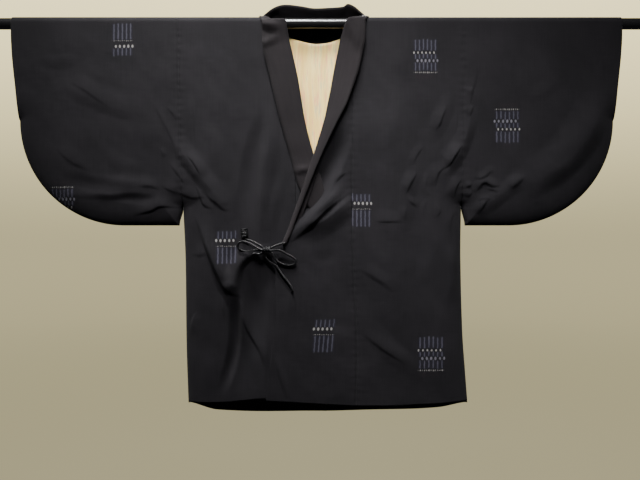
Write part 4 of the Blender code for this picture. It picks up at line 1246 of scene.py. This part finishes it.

# Stage: a round pale room, open at the top, two narrow panels overhead in front of the coat and a wide
# one behind it. The room's wall and floor glow with painted light, brighter high up and darker towards the
# floor's middle
# The room's own dim paint, then the colours and levels of the painted light it glows with, darker on the
# floor towards the middle
stageLook = {"floor": -1.25, "radius": 7.0, "bend": 1.2, "high": 6.0, "bendSteps": 12, "turnSteps": 96,
             "paint": (0.012, 0.011, 0.009), "low": (0.43, 0.385, 0.22), "middle": (0.58, 0.515, 0.29),
             "top": (1.95, 1.68, 0.86), "glowLevels": (-3.2, -0.6, 2.6), "floorShadeSlope": 0.3}
lamps = {
    "nearPanel": {"place": (-0.32, -0.5, 1.35), "target": (-0.04, 0.0, -0.36), "size": (1.0, 0.12),
                  "power": 6.9, "spread": 34},
    "farPanel": {"place": (-0.12, -1.25, 1.45), "target": (-0.02, 0.0, -0.33), "size": (1.5, 0.3),
                 "power": 7.8, "spread": 34},
    "backPanel": {"place": (0.3, 1.4, 1.3), "target": (0.0, 0.0, -0.4), "size": (1.2, 0.5),
                  "power": 130.0, "spread": 180},
}
airLook = {"lamps": (1.0, 0.985, 0.97), "colour": (0.95, 0.95, 1.0, 1.0), "strength": 0.07}


def stagePaintAndGlow():
    look = stageLook
    board = Board("stagePaintAndGlow", Roughness=0.9, Base_Color=look["paint"], Specular_IOR_Level=0.1,
                  Emission_Strength=1.0)
    # painted light: the glow is brighter with height and darker on the floor towards the room's middle
    x, y, z = board.split(board.coordinates())
    reach = board.maths("SQRT", x * x + y * y)
    level = z + (reach - look["radius"]) * look["floorShadeSlope"]
    low, middle, high = look["glowLevels"]
    colour = board.blend(board.rise(level, low, middle), look["low"], look["middle"])
    board.feed("Emission Color", board.blend(board.rise(level, middle, high), colour, look["top"]))
    return board.material


def makeStage():
    look = stageLook
    profile = [(0.0, look["floor"])]
    for step in range(look["bendSteps"] + 1):
        angle = step / look["bendSteps"] * math.pi / 2
        profile.append((look["radius"] - look["bend"] * (1 - math.sin(angle)),
                        look["floor"] + look["bend"] * (1 - math.cos(angle))))
    profile.append((look["radius"], look["high"]))
    bm = bmesh.new()
    verts = [bm.verts.new((r, 0, z)) for r, z in profile]
    edges = [bm.edges.new(pair) for pair in zip(verts, verts[1:])]
    bmesh.ops.spin(bm, geom=verts + edges, axis=(0, 0, 1), cent=(0, 0, 0), angle=2 * math.pi,
                   steps=look["turnSteps"], use_merge=True)
    bmesh.ops.recalc_face_normals(bm, faces=bm.faces)
    mesh = bpy.data.meshes.new("backdrop")
    bm.to_mesh(mesh)
    bm.free()
    mesh.shade_smooth()
    mesh.materials.append(stagePaintAndGlow())
    backdrop = bpy.data.objects.new("backdrop", mesh)
    backdrop.visible_diffuse = False
    backdrop.visible_glossy = False
    backdrop.visible_shadow = False
    bpy.context.scene.collection.objects.link(backdrop)


def addLamp(name, place, target, size, power, spread):
    lamp = bpy.data.lights.new(name, "AREA")
    lamp.shape, lamp.size, lamp.size_y = "RECTANGLE", size[0], size[1]
    lamp.energy, lamp.color, lamp.spread = power, airLook["lamps"], math.radians(spread)
    made = bpy.data.objects.new(name, lamp)
    made.location = place
    aim = np.array(target, float) - np.array(place, float)
    flat = math.hypot(aim[0], aim[1])
    made.rotation_euler = (math.atan2(flat, -aim[2]), 0, math.atan2(aim[1], aim[0]) - math.pi / 2)
    bpy.context.scene.collection.objects.link(made)


def addAir():
    world = bpy.data.worlds.new("studioAir")
    world.use_nodes = True
    background = world.node_tree.nodes["Background"]
    background.inputs["Color"].default_value = airLook["colour"]
    background.inputs["Strength"].default_value = airLook["strength"]
    bpy.context.scene.world = world


makeStage()
for lampName, lampShape in lamps.items():
    addLamp(lampName, **lampShape)
addAir()
print("stage and light set")
